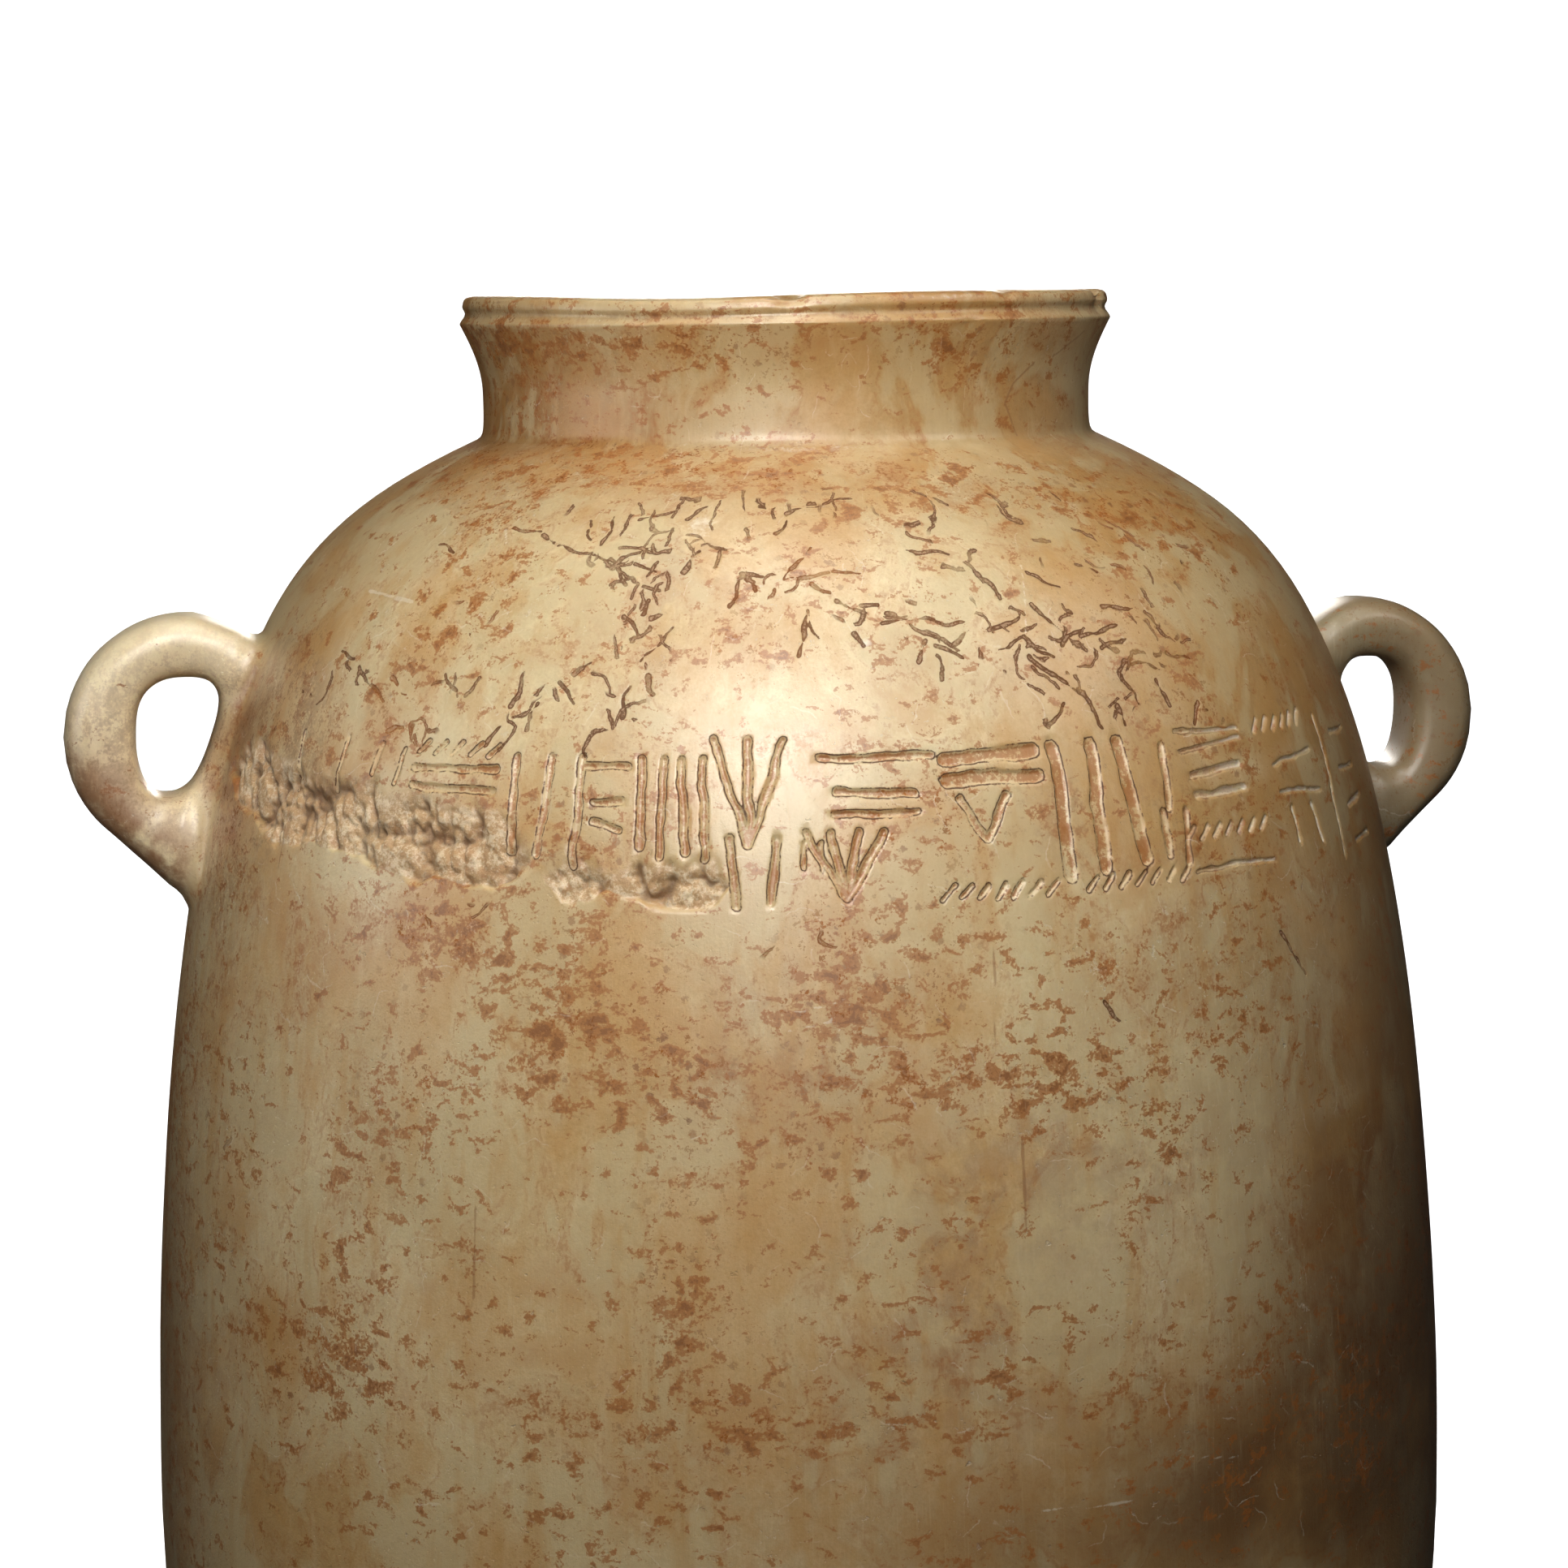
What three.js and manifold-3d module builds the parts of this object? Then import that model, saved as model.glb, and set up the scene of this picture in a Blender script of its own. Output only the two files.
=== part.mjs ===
// A large stone jar of the alabastron kind, carved from one block: a baggy round-bottomed body
// with a flat foot, a short flaring neck with a grooved rim, and two loop handles on the shoulder.
// A band of shallow strokes runs round the front under the shoulder, and part of it has spalled off.
// Millimetres, +Z up. The origin is the centre of the foot, and the handles point along -X and +X.

import * as THREE from 'three';
import { mergeVertices } from 'three/addons/utils/BufferGeometryUtils.js';
import Module from 'manifold-3d';

const wasm = await Module();
wasm.setup();

// Facets
const sidesAround = 52;
const sidesInside = 40;
const underRings = 8;
const sideRings = 5;
const shoulderRings = 9;
const handleRings = 2;
const handleSteps = 16;
const strokeBend = 22;

// Body
const jarHeight = 506;
const bellyRadius = 175.6;
const bellyHeight = 180;
const bellyPull = 58;
const footRadius = 60;
const footRise = 12;
const footPull = 72;
const underBellyPull = 100;
const bodyWall = 17;
const floorThickness = 24;

// Shoulder, from the foot of the neck down to the belly
const shoulderDrop = 24.6;
const shoulderPull = 41;
const haunchInset = 25.2;
const haunchBelowRim = 109.4;
const haunchDrop = 70;
const haunchPullUp = 41.4;
const haunchPullDown = 57;

// Neck and rim
const neckRadius = 81.2;
const neckWall = 12;
const neckLength = 38.5;
const neckFootFlare = 3;
const neckFilletHeight = 5.5;
const neckFilletSharpness = 0.2;
const waistBelowRim = 26;
const flarePull = 0.4;
const lipFlare = 5.8;
const lipFlarePull = 0.6;
const lipBelowRim = 7.5;
const grooveBelowRim = 4.8;
const grooveDepth = 1.7;
const rimBandBelowRim = 2.6;
const rimBandInset = 0.7;
const rimEdgeWidth = 2.9;
const mouthEdgeRounding = 3;

// Handles: a rounded loop with a cord eye
const handleStandOff = 44.1;
const handleArm = 19.7;
const handleWidth = 27;
const handleLoopRadius = 33;
const handleCentreBelowRim = 114;
const handleTopSlope = 6;
const handleTailAngle = -46;
const handleEdgeRounding = 7;
const handleRootDrop = 10;
const eyeHeight = 30;
const eyeCentreLift = 0.8;
const eyeStrip = 4;
const eyeSquareness = 0.78;
const rightHandleDrop = 4.6;

// Band of strokes; lean in degrees, tilt and foot as shares of the band
const bandBelowRim = 106;
const bandHeight = 34;
const strokeDepth = 1.4;
const strokeFloorShare = 0.3;
const broadStroke = 4.2;
const plainStroke = 2.8;
const fineStroke = 1.8;
const postLean = 0.5;
const postFootWander = 0.06;
const barTilt = 0.03;
const tickHeight = 2.8;
const tickLean = 0.5;

// Spalled patches under the left half of the band
const spallDepth = 2.8;
const spallScoop = 13;
const spallScoopDepth = 7.8;
const spallSpacing = 7;
const spallSizeWander = 0.25;
const spallRise = 4;

// Sizes that follow from these
const haunchRadius = bellyRadius - haunchInset;
const haunchHeight = jarHeight - haunchBelowRim;
const neckFootHeight = jarHeight - neckLength;
const neckWaistHeight = jarHeight - waistBelowRim;
const lipRadius = neckRadius + lipFlare;
const lipHeight = jarHeight - lipBelowRim;
const rimBandRadius = lipRadius - rimBandInset;
const rimTopRadius = rimBandRadius - rimEdgeWidth;
const boreRadius = neckRadius - neckWall;
const handleReach = haunchRadius + handleStandOff;
const handleCentreHeight = jarHeight - handleCentreBelowRim;
const bandTop = jarHeight - bandBelowRim;
const bandBottom = bandTop - bandHeight;

const rad = THREE.MathUtils.degToRad;
const mix = THREE.MathUtils.lerp;
const point = (radius, height) => new THREE.Vector2(radius, height);

// Step from a point, at an angle below the outward horizontal
function away(from, dropAngle, distance) {
  return point(
    from.x + distance * Math.cos(rad(dropAngle)),
    from.y - distance * Math.sin(rad(dropAngle)),
  );
}

function curve(from, pullFrom, pullTo, to, rings) {
  return new THREE.CubicBezierCurve(from, pullFrom, pullTo, to).getPoints(rings);
}

// Repeatable unevenness between -1 and 1
function wander(index) {
  return Math.sin(index * 2.399) * Math.cos(index * 1.237 + 0.6);
}

function rootOfNeck() {
  return point(neckRadius + neckFootFlare, neckFootHeight);
}

// Outer outline of the body, from the foot up to the neck
function bodyOutline() {
  const foot = point(footRadius, 0);
  const belly = point(bellyRadius, bellyHeight);
  const haunch = point(haunchRadius, haunchHeight);
  const neckRoot = rootOfNeck();
  const under = curve(
    foot,
    away(foot, -footRise, footPull),
    point(bellyRadius, bellyHeight - underBellyPull),
    belly,
    underRings,
  );
  const side = curve(
    belly,
    point(bellyRadius, bellyHeight + bellyPull),
    away(haunch, haunchDrop, haunchPullDown),
    haunch,
    sideRings,
  );
  const shoulder = curve(
    haunch,
    away(haunch, haunchDrop, -haunchPullUp),
    away(neckRoot, shoulderDrop, shoulderPull),
    neckRoot,
    shoulderRings,
  );
  return [...under, ...side.slice(1), ...shoulder.slice(1)];
}

// The middle point of an edge rounded from an upright wall to a level top
function roundedEdge(wall, top, low, high) {
  const share = Math.SQRT1_2;
  return [point(mix(top, wall, share), mix(low, high, share))];
}

// Outer outline of the neck and rim, from its foot to the flat top of the rim
function neckOutline() {
  const waist = point(neckRadius, neckWaistHeight);
  const lip = point(lipRadius, lipHeight);
  const flare = curve(
    waist,
    point(neckRadius, mix(neckWaistHeight, lipHeight, flarePull)),
    point(mix(neckRadius, lipRadius, lipFlarePull), mix(lipHeight, neckWaistHeight, flarePull)),
    lip,
    4,
  );
  return [
    point(
      neckRadius + neckFootFlare * neckFilletSharpness,
      neckFootHeight + neckFilletHeight * (neckFilletSharpness * 2),
    ),
    point(neckRadius, neckFootHeight + neckFilletHeight),
    ...flare,
    point(lipRadius - grooveDepth, jarHeight - grooveBelowRim),
    point(rimBandRadius, jarHeight - rimBandBelowRim),
    ...roundedEdge(rimBandRadius, rimTopRadius, jarHeight - rimBandBelowRim, jarHeight),
    point(rimTopRadius, jarHeight),
  ];
}

// The outline set in by the wall, kept between the floor and the bore of the neck
function hollowOutline() {
  const outline = bodyOutline();
  const inset = outline.map((at, i) => {
    const before = outline[Math.max(i - 1, 0)];
    const after = outline[Math.min(i + 1, outline.length - 1)];
    const along = after.clone().sub(before).normalize();
    return point(at.x - along.y * bodyWall, at.y + along.x * bodyWall);
  });
  const inside = inset.filter((at) => at.y > floorThickness && at.x > boreRadius);
  const kept = inside.filter((_, i) => i % 2 === 0 || i === inside.length - 1);
  const floorEdge = kept[0].x - bodyWall / 2;
  const top = kept.at(-1);
  const mouthRadius = boreRadius + mouthEdgeRounding;
  return [
    point(0, floorThickness),
    point(floorEdge, floorThickness),
    ...kept,
    point(boreRadius, top.y + (top.x - boreRadius) / 2),
    point(boreRadius, jarHeight - mouthEdgeRounding),
    ...roundedEdge(boreRadius, mouthRadius, jarHeight - mouthEdgeRounding, jarHeight),
    point(mouthRadius, jarHeight),
    point(mouthRadius, jarHeight + bodyWall),
    point(0, jarHeight + bodyWall),
  ];
}

const bodyLine = bodyOutline();

// Radius of the body at a height
function wallRadius(height) {
  const above = bodyLine.findIndex((at) => at.y >= height);
  const high = bodyLine[above];
  const low = bodyLine[above - 1];
  return mix(low.x, high.x, (height - low.y) / (high.y - low.y));
}

// A closed three.js mesh as a solid that can be joined and cut
function toSolid(geometry) {
  const bare = geometry.clone();
  bare.deleteAttribute('normal');
  bare.deleteAttribute('uv');
  const merged = mergeVertices(bare, 0.0005);
  const index = merged.index.array;
  const triangles = [];
  for (let i = 0; i < index.length; i += 3) {
    const [a, b, c] = [index[i], index[i + 1], index[i + 2]];
    if (a !== b && b !== c && c !== a) triangles.push(a, b, c);
  }
  const mesh = new wasm.Mesh({
    numProp: 3,
    vertProperties: new Float32Array(merged.attributes.position.array),
    triVerts: new Uint32Array(triangles),
  });
  return new wasm.Manifold(mesh);
}

function toGeometry(solid) {
  const mesh = solid.getMesh();
  const geometry = new THREE.BufferGeometry();
  geometry.setAttribute('position', new THREE.BufferAttribute(mesh.vertProperties, 3));
  geometry.setIndex(new THREE.BufferAttribute(mesh.triVerts, 1));
  geometry.computeVertexNormals();
  return geometry;
}

// A round solid from an outline that starts and ends on the axis
function turned(outline, sides) {
  const geometry = new THREE.LatheGeometry(outline, sides);
  return toSolid(geometry.rotateX(Math.PI / 2));
}

// Outer edge of a handle, closed at the inner face of the wall
function handleShape(drop) {
  const centre = point(handleReach - handleLoopRadius, handleCentreHeight - drop);
  const topAngle = 90 + handleTopSlope;
  const top = away(centre, -topAngle, handleLoopRadius);
  const tail = away(centre, -handleTailAngle, handleLoopRadius);
  const upperRootHeight = top.y - handleRootDrop;
  const upperRoot = point(wallRadius(upperRootHeight) - bodyWall, upperRootHeight);
  const tailDrop = (tail.x - wallRadius(tail.y) + bodyWall) * Math.tan(rad(90 + handleTailAngle));
  const lowerRoot = point(wallRadius(tail.y) - bodyWall, tail.y - tailDrop);
  const shape = new THREE.Shape();
  shape.moveTo(upperRoot.x, upperRoot.y);
  shape.lineTo(lowerRoot.x, lowerRoot.y);
  shape.absarc(centre.x, centre.y, handleLoopRadius, rad(handleTailAngle), rad(topAngle), false);
  return shape;
}

// The eye: its inner side follows the wall, a strip's height off it
function eyePath(drop) {
  const centreHeight = handleCentreHeight + eyeCentreLift - drop;
  const outer = handleReach - handleArm;
  const points = [];
  for (let i = 0; i < handleSteps; i += 1) {
    const turn = (2 * Math.PI * i) / handleSteps;
    const rise = Math.sign(Math.sin(turn)) * Math.abs(Math.sin(turn)) ** eyeSquareness;
    const reach = Math.sign(Math.cos(turn)) * Math.abs(Math.cos(turn)) ** eyeSquareness;
    const height = centreHeight + (rise * eyeHeight) / 2;
    const inner = wallRadius(height) + eyeStrip;
    points.push(point(mix(inner, outer, (1 + reach) / 2), height));
  }
  return new THREE.Path(points);
}

function handle(side, drop) {
  const shape = handleShape(drop);
  shape.holes.push(eyePath(drop));
  const straight = handleWidth - 2 * handleEdgeRounding;
  const geometry = new THREE.ExtrudeGeometry(shape, {
    depth: straight,
    curveSegments: handleSteps,
    bevelSegments: handleRings,
    bevelThickness: handleEdgeRounding,
    bevelSize: handleEdgeRounding,
    bevelOffset: -handleEdgeRounding,
  });
  geometry.translate(0, 0, -straight / 2);
  geometry.rotateX(Math.PI / 2);
  if (side < 0) geometry.rotateZ(Math.PI);
  return toSolid(geometry);
}

// Lay a flat cutter on the wall: x runs round the jar in degrees from the front, y is the height
// and z stands off the wall
function wrap(geometry) {
  const positions = geometry.attributes.position;
  for (let i = 0; i < positions.count; i += 1) {
    const angle = rad(positions.getX(i));
    const height = positions.getY(i);
    const radius = wallRadius(height) + positions.getZ(i);
    positions.setXYZ(i, radius * Math.sin(angle), -radius * Math.cos(angle), height);
  }
  return geometry;
}

// One chiselled stroke from (angle, height) to (angle, height), narrower at the bottom of the cut
function stroke([fromAngle, fromHeight], [toAngle, toHeight], width) {
  const middleHeight = (fromHeight + toHeight) / 2;
  const degree = rad(wallRadius(middleHeight));
  const across = (toAngle - fromAngle) * degree;
  const rise = toHeight - fromHeight;
  const length = Math.hypot(across, rise);
  const pieces = Math.max(1, Math.round(length / strokeBend));
  const cutter = new THREE.BoxGeometry(length, width, 2 * strokeDepth, pieces, 1, 1);
  const positions = cutter.attributes.position;
  for (let i = 0; i < positions.count; i += 1) {
    if (positions.getZ(i) < 0) positions.setY(i, positions.getY(i) * strokeFloorShare);
  }
  cutter.rotateZ(Math.atan2(rise, across));
  cutter.scale(1 / degree, 1, 1);
  cutter.translate((fromAngle + toAngle) / 2, middleHeight, 0);
  return toSolid(wrap(cutter));
}

// Height in the band, from 0 at its foot to 1 at its top
function level(share) {
  return mix(bandBottom, bandTop, share);
}

// Places shared out evenly from one to another
function spread(from, to, count) {
  return Array.from({ length: count }, (_, i) => mix(from, to, count > 1 ? i / (count - 1) : 0));
}

// Upright posts side by side, each leaning a little its own way
function posts(fromAngle, toAngle, count, foot, head, width) {
  return spread(fromAngle, toAngle, count).map((angle, i) => {
    const lean = postLean * wander(i + fromAngle);
    const bottom = level(foot + postFootWander * wander(i + toAngle));
    return stroke([angle - lean, bottom], [angle + lean, level(head)], width);
  });
}

// Level bars, one under the other
function bars(fromAngle, toAngle, count, foot, head, width) {
  return spread(head, foot, count).map((share, i) => {
    const tilt = barTilt * wander(i + fromAngle);
    return stroke([fromAngle, level(share - tilt)], [toAngle, level(share + tilt)], width);
  });
}

// A row of short slanting ticks
function ticks(fromAngle, toAngle, count, share) {
  const foot = level(share) - tickHeight / 2;
  return spread(fromAngle, toAngle, count).map((angle) =>
    stroke([angle - tickLean, foot], [angle + tickLean, foot + tickHeight], fineStroke));
}

// Strokes that fan out from a low point
function fan(angle, spreadAngle, count, foot, head, width) {
  return spread(-1, 1, count).map((turn) =>
    stroke([angle, level(foot)], [angle + turn * spreadAngle, level(head)], width));
}

// The band from its left end to its right, in degrees from the front
function bandStrokes() {
  return [
    ...posts(-65, -58, 2, 0.55, 0.98, fineStroke),
    ...posts(-53, -50, 2, 0.75, 0.95, fineStroke),
    ...bars(-48, -39, 2, 0.7, 0.84, plainStroke),
    ...ticks(-47.5, -39.5, 5, 0.98),
    ...posts(-36.8, -30.4, 3, 0.27, 0.95, plainStroke),
    ...bars(-30.2, -26, 1, 0.9, 0.9, plainStroke),
    ...bars(-29, -26.5, 2, 0.5, 0.66, plainStroke),
    ...posts(-24.7, -19.1, 4, 0.33, 0.95, plainStroke),
    ...fan(-15.2, 3.2, 3, 0.38, 1.08, plainStroke),
    ...posts(-16.4, -13, 2, 0, 0.42, plainStroke),
    ...posts(-10.4, -8.8, 2, 0.2, 0.4, fineStroke),
    ...bars(-9, 1.2, 1, 0.95, 0.95, plainStroke),
    ...bars(-7.6, -0.6, 2, 0.58, 0.72, plainStroke),
    ...fan(-6.8, 3.4, 4, 0.02, 0.46, plainStroke),
    ...bars(2.4, 11, 2, 0.78, 0.93, broadStroke),
    ...fan(5.6, 2.2, 2, 0.36, 0.66, plainStroke),
    ...ticks(1.8, 11.2, 7, 0.03),
    ...posts(13, 20.4, 3, 0.14, 0.96, broadStroke),
    ...posts(23.6, 26, 2, 0.16, 0.46, plainStroke),
    ...posts(24.6, 25.6, 1, 0.52, 0.92, plainStroke),
    ...bars(27, 35.6, 2, 0.88, 0.98, fineStroke),
    ...bars(28, 34.6, 2, 0.55, 0.7, plainStroke),
    ...ticks(15, 25, 7, 0.03),
    ...ticks(26.4, 36.2, 7, 0.3),
    ...bars(26.4, 36.8, 1, 0.03, 0.03, fineStroke),
    ...ticks(38.6, 46.8, 6, 0.97),
    ...bars(40, 47.5, 2, 0.46, 0.7, fineStroke),
    ...posts(41.5, 45.5, 2, 0.08, 0.36, fineStroke),
    ...posts(50.4, 51, 1, -0.08, 0.95, fineStroke),
    ...bars(54, 58.4, 4, 0, 0.8, fineStroke),
  ];
}

// Scoops out of the wall where flakes have come away, at shares of the band's height
function spall(fromAngle, toAngle, fromShare, toShare) {
  const [fromHeight, toHeight] = [level(fromShare), level(toShare)];
  const length = (toAngle - fromAngle) * rad(wallRadius(fromHeight));
  const count = Math.round(length / spallSpacing);
  return Array.from({ length: count }, (_, i) => {
    const along = i / (count - 1);
    const angle = rad(mix(fromAngle, toAngle, along));
    const height = mix(fromHeight, toHeight, along) + spallRise * wander(i);
    const size = 1 + spallSizeWander * wander(i + count);
    const depth = spallScoopDepth * size;
    const scoop = new THREE.IcosahedronGeometry(size, 1);
    scoop.scale(spallScoop, spallScoopDepth, (spallScoop + spallScoopDepth) / 2);
    scoop.rotateZ(angle);
    const radius = wallRadius(height) + depth - spallDepth;
    scoop.translate(radius * Math.sin(angle), -radius * Math.cos(angle), height);
    return toSolid(scoop);
  });
}

function jar() {
  const outline = [point(0, 0), ...bodyOutline(), ...neckOutline(), point(0, jarHeight)];
  const block = turned(outline, sidesAround)
    .add(handle(-1, 0))
    .add(handle(1, rightHandleDrop));
  const cuts = [
    turned(hollowOutline(), sidesInside),
    ...bandStrokes(),
    ...spall(-77, -37, 0.47, 0.3),
    ...spall(-31, -18, 0.15, 0.12),
  ];
  return cuts.reduce((solid, cut) => solid.subtract(cut), block);
}

const calcite = new THREE.MeshStandardMaterial({ color: 0xb99a66, roughness: 0.42, metalness: 0 });
const alabastron = new THREE.Mesh(toGeometry(jar()), calcite);
alabastron.name = 'jar';

const group = new THREE.Group();
group.add(alabastron);

export default group;
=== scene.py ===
# A large two-handled calcite jar, its one surface modelled in full over the imported solid and
# finished as honey-coloured, stained and root-marked stone with some painted shade and highlight,
# with its camera, light and floor.
# Surface sizes are in millimetres and degrees round the jar from its front, which faces -Y; meshes
# are turned into metres as they are made.

import math

import bpy
import numpy as np
from mathutils import Matrix, Vector
from mathutils.bvhtree import BVHTree
from mathutils.kdtree import KDTree


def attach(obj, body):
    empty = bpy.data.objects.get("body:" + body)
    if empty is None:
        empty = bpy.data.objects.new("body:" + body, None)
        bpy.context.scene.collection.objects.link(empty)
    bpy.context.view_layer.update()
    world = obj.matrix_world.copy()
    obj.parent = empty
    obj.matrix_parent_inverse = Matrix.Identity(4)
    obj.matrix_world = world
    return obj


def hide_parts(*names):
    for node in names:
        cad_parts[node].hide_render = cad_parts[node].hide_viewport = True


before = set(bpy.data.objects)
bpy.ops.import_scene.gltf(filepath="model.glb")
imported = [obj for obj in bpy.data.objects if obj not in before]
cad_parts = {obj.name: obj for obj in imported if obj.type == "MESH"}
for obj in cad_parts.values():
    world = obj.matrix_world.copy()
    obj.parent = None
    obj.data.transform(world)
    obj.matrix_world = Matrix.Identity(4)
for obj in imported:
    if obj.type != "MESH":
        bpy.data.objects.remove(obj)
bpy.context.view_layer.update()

MM = 0.001

# Body outline
JAR_HEIGHT = 506.0
BELLY_RADIUS = 175.6
BELLY_HEIGHT = 180.0
FOOT_RADIUS = 60.0
BODY_WALL = 17.0
FLOOR_THICKNESS = 24.0
HAUNCH = (150.4, 396.6)
NECK_ROOT = (84.2, 467.5)

# Neck and rim
NECK_RADIUS = 81.2
NECK_WALL = 12.0
NECK_WAIST_HEIGHT = 480.0
NECK_FILLET_HEIGHT = 4.0
LIP = (87.0, 498.5)
RIM_GROOVE = (85.3, 501.2)
RIM_BAND = (86.3, 503.4)
RIM_TOP_RADIUS = 83.4
MOUTH_ROUNDING = 3.0

# Handles
HANDLE_REACH = 194.5
HANDLE_ARM = 19.7
HANDLE_WIDTH = 27.0
HANDLE_LOOP_RADIUS = 33.0
HANDLE_CENTRE_HEIGHT = 392.0
HANDLE_TOP_SLOPE = 6.0
HANDLE_TAIL_ANGLE = -46.0
HANDLE_ROOT_DROP = 10.0
EYE_HEIGHT = 30.0
EYE_LIFT = 0.8
EYE_STRIP = 4.0
EYE_SQUARENESS = 0.78
RIGHT_HANDLE_DROP = 4.6

# Band of strokes
BAND_TOP = 400.0
BAND_BOTTOM = 366.0
STROKE_DEPTH = 0.8
BROAD_STROKE = 3.6
PLAIN_STROKE = 2.1
FINE_STROKE = 1.3

# Spalled patches: from and to (angle, height), half height of the patch
SPALLS = (((-79.0, 386.0), (-36.0, 374.5), 9.5), ((-32.0, 371.0), (-17.0, 370.0), 5.5))
SPALL_DEPTH = 2.2

# Meshes: cells round the wall, those that face forward, and how often the finest are halved
ROOT_COLUMNS = 72
FRONT_COLUMNS = np.arange(-22, 18)
FINEST = 5
HANDLE_TURNS = 72
HANDLE_SECTION = 28
HANDLE_ROUNDNESS = 0.66
HANDLE_FLARE = 3.0
ROOT_SINK = 9.0
ROOT_FILLET = 8.0
ROOT_REGION = 0.125
SEAM_GAP = 2e-6
SMOOTHING_ROUNDS = 14


def mix(a, b, t):
    return a + (b - a) * t


def smooth(low, high, x):
    t = np.clip((x - low) / (high - low), 0.0, 1.0)
    return t * t * (3.0 - 2.0 * t)


def away(start, drop, distance):
    """A point at a distance from another, at an angle below the outward level."""
    angle = math.radians(drop)
    return start[0] + distance * math.cos(angle), start[1] - distance * math.sin(angle)


def bezier(p0, p1, p2, p3):
    p0, p1, p2, p3 = (np.array(p, float) for p in (p0, p1, p2, p3))

    def at(t):
        t = np.asarray(t, float)[..., None]
        s = 1.0 - t
        return s**3 * p0 + 3 * s**2 * t * p1 + 3 * s * t**2 * p2 + t**3 * p3

    return at


def path(*points):
    """Straight runs through points, one for each unit of the parameter's share."""
    points = np.array(points, float)

    def at(t):
        place = np.asarray(t, float) * (len(points) - 1)
        low = np.clip(np.floor(place).astype(int), 0, len(points) - 2)
        share = (place - low)[..., None]
        return points[low] * (1 - share) + points[low + 1] * share

    return at


def rounded(points, rounds=3):
    """A smooth run through rounded corners, by cutting each corner again and again."""
    line = np.array(points, float)
    for _ in range(rounds):
        inner = np.empty((2 * len(line) - 2, 2))
        inner[0::2] = mix(line[:-1], line[1:], 0.25)
        inner[1::2] = mix(line[:-1], line[1:], 0.75)
        line = np.vstack([line[:1], inner, line[-1:]])
    length = np.concatenate([[0], np.cumsum(np.linalg.norm(np.diff(line, axis=0), axis=1))])
    length /= length[-1]

    def at(t):
        t = np.asarray(t, float)
        return np.stack([np.interp(t, length, line[:, 0]), np.interp(t, length, line[:, 1])], -1)

    return at


FOOT = (FOOT_RADIUS, 0.0)
BELLY = (BELLY_RADIUS, BELLY_HEIGHT)
UNDER = bezier(FOOT, away(FOOT, -12, 72), (BELLY_RADIUS, BELLY_HEIGHT - 100), BELLY)
SIDE = bezier(BELLY, (BELLY_RADIUS, BELLY_HEIGHT + 58), away(HAUNCH, 70, 57), HAUNCH)
SHOULDER = bezier(HAUNCH, away(HAUNCH, 70, -41.4), away(NECK_ROOT, 24.6, 41), NECK_ROOT)


def body_line(count=60):
    t = np.linspace(0, 1, count)
    return np.vstack([UNDER(t), SIDE(t)[1:], SHOULDER(t)[1:]])


BODY_LINE = body_line()


def wall_radius(height):
    """Outer radius of the body at a height."""
    return np.interp(height, BODY_LINE[:, 1], BODY_LINE[:, 0])


def neck_line():
    waist = (NECK_RADIUS, NECK_WAIST_HEIGHT)
    flare = bezier(
        waist,
        (NECK_RADIUS, mix(NECK_WAIST_HEIGHT, LIP[1], 0.4)),
        (mix(NECK_RADIUS, LIP[0], 0.6), mix(NECK_WAIST_HEIGHT, LIP[1], 0.75)),
        LIP,
    )(np.linspace(0, 1, 8))
    fillet = [
        NECK_ROOT,
        (NECK_RADIUS + 0.7, NECK_ROOT[1] + 0.9),
        (NECK_RADIUS, NECK_ROOT[1] + NECK_FILLET_HEIGHT),
    ]
    return rounded(fillet + list(map(tuple, flare)), 2)


def rim_line():
    return rounded(
        [
            LIP,
            (LIP[0] - 0.1, LIP[1] + 0.6),
            RIM_GROOVE,
            (RIM_BAND[0] - 0.1, RIM_BAND[1] - 0.7),
            RIM_BAND,
            (RIM_BAND[0] - 0.6, JAR_HEIGHT - 0.5),
            (RIM_TOP_RADIUS, JAR_HEIGHT),
        ],
        2,
    )


def inner_line():
    """The wall's inner side, from the bore's top edge down to the floor's middle."""
    bore = NECK_RADIUS - NECK_WALL
    along = np.gradient(BODY_LINE, axis=0)
    along /= np.linalg.norm(along, axis=1)[:, None]
    inset = BODY_LINE + BODY_WALL * np.stack([-along[:, 1], along[:, 0]], 1)
    inset = inset[(inset[:, 1] > FLOOR_THICKNESS + 1) & (inset[:, 0] > bore + 1)][::-1]
    top = (bore, inset[0, 1] + (inset[0, 0] - bore) / 2)
    floor = (inset[-1, 0] - BODY_WALL / 2, FLOOR_THICKNESS)
    edge, middle = (bore, JAR_HEIGHT - MOUTH_ROUNDING), (6.0, FLOOR_THICKNESS)
    return rounded([edge, top, *inset[::4], floor, middle], 2)


MOUTH_INNER = NECK_RADIUS - NECK_WALL + MOUTH_ROUNDING
RUNS = (
    (path((6.0, 0.0), FOOT), 4),
    (UNDER, 18),
    (SIDE, 16),
    (SHOULDER, 9),
    (neck_line(), 14),
    (rim_line(), 9),
    (path((RIM_TOP_RADIUS, JAR_HEIGHT), (MOUTH_INNER, JAR_HEIGHT)), 3),
    (rounded([(MOUTH_INNER, JAR_HEIGHT), (MOUTH_INNER - MOUTH_ROUNDING, JAR_HEIGHT),
              (MOUTH_INNER - MOUTH_ROUNDING, JAR_HEIGHT - MOUTH_ROUNDING)], 3), 3),
    (inner_line(), 24),
)
RUN_STARTS = np.concatenate([[0], np.cumsum([rows for _, rows in RUNS])])
ROWS = int(RUN_STARTS[-1])
OUTER_ROWS = int(RUN_STARTS[6])


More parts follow.
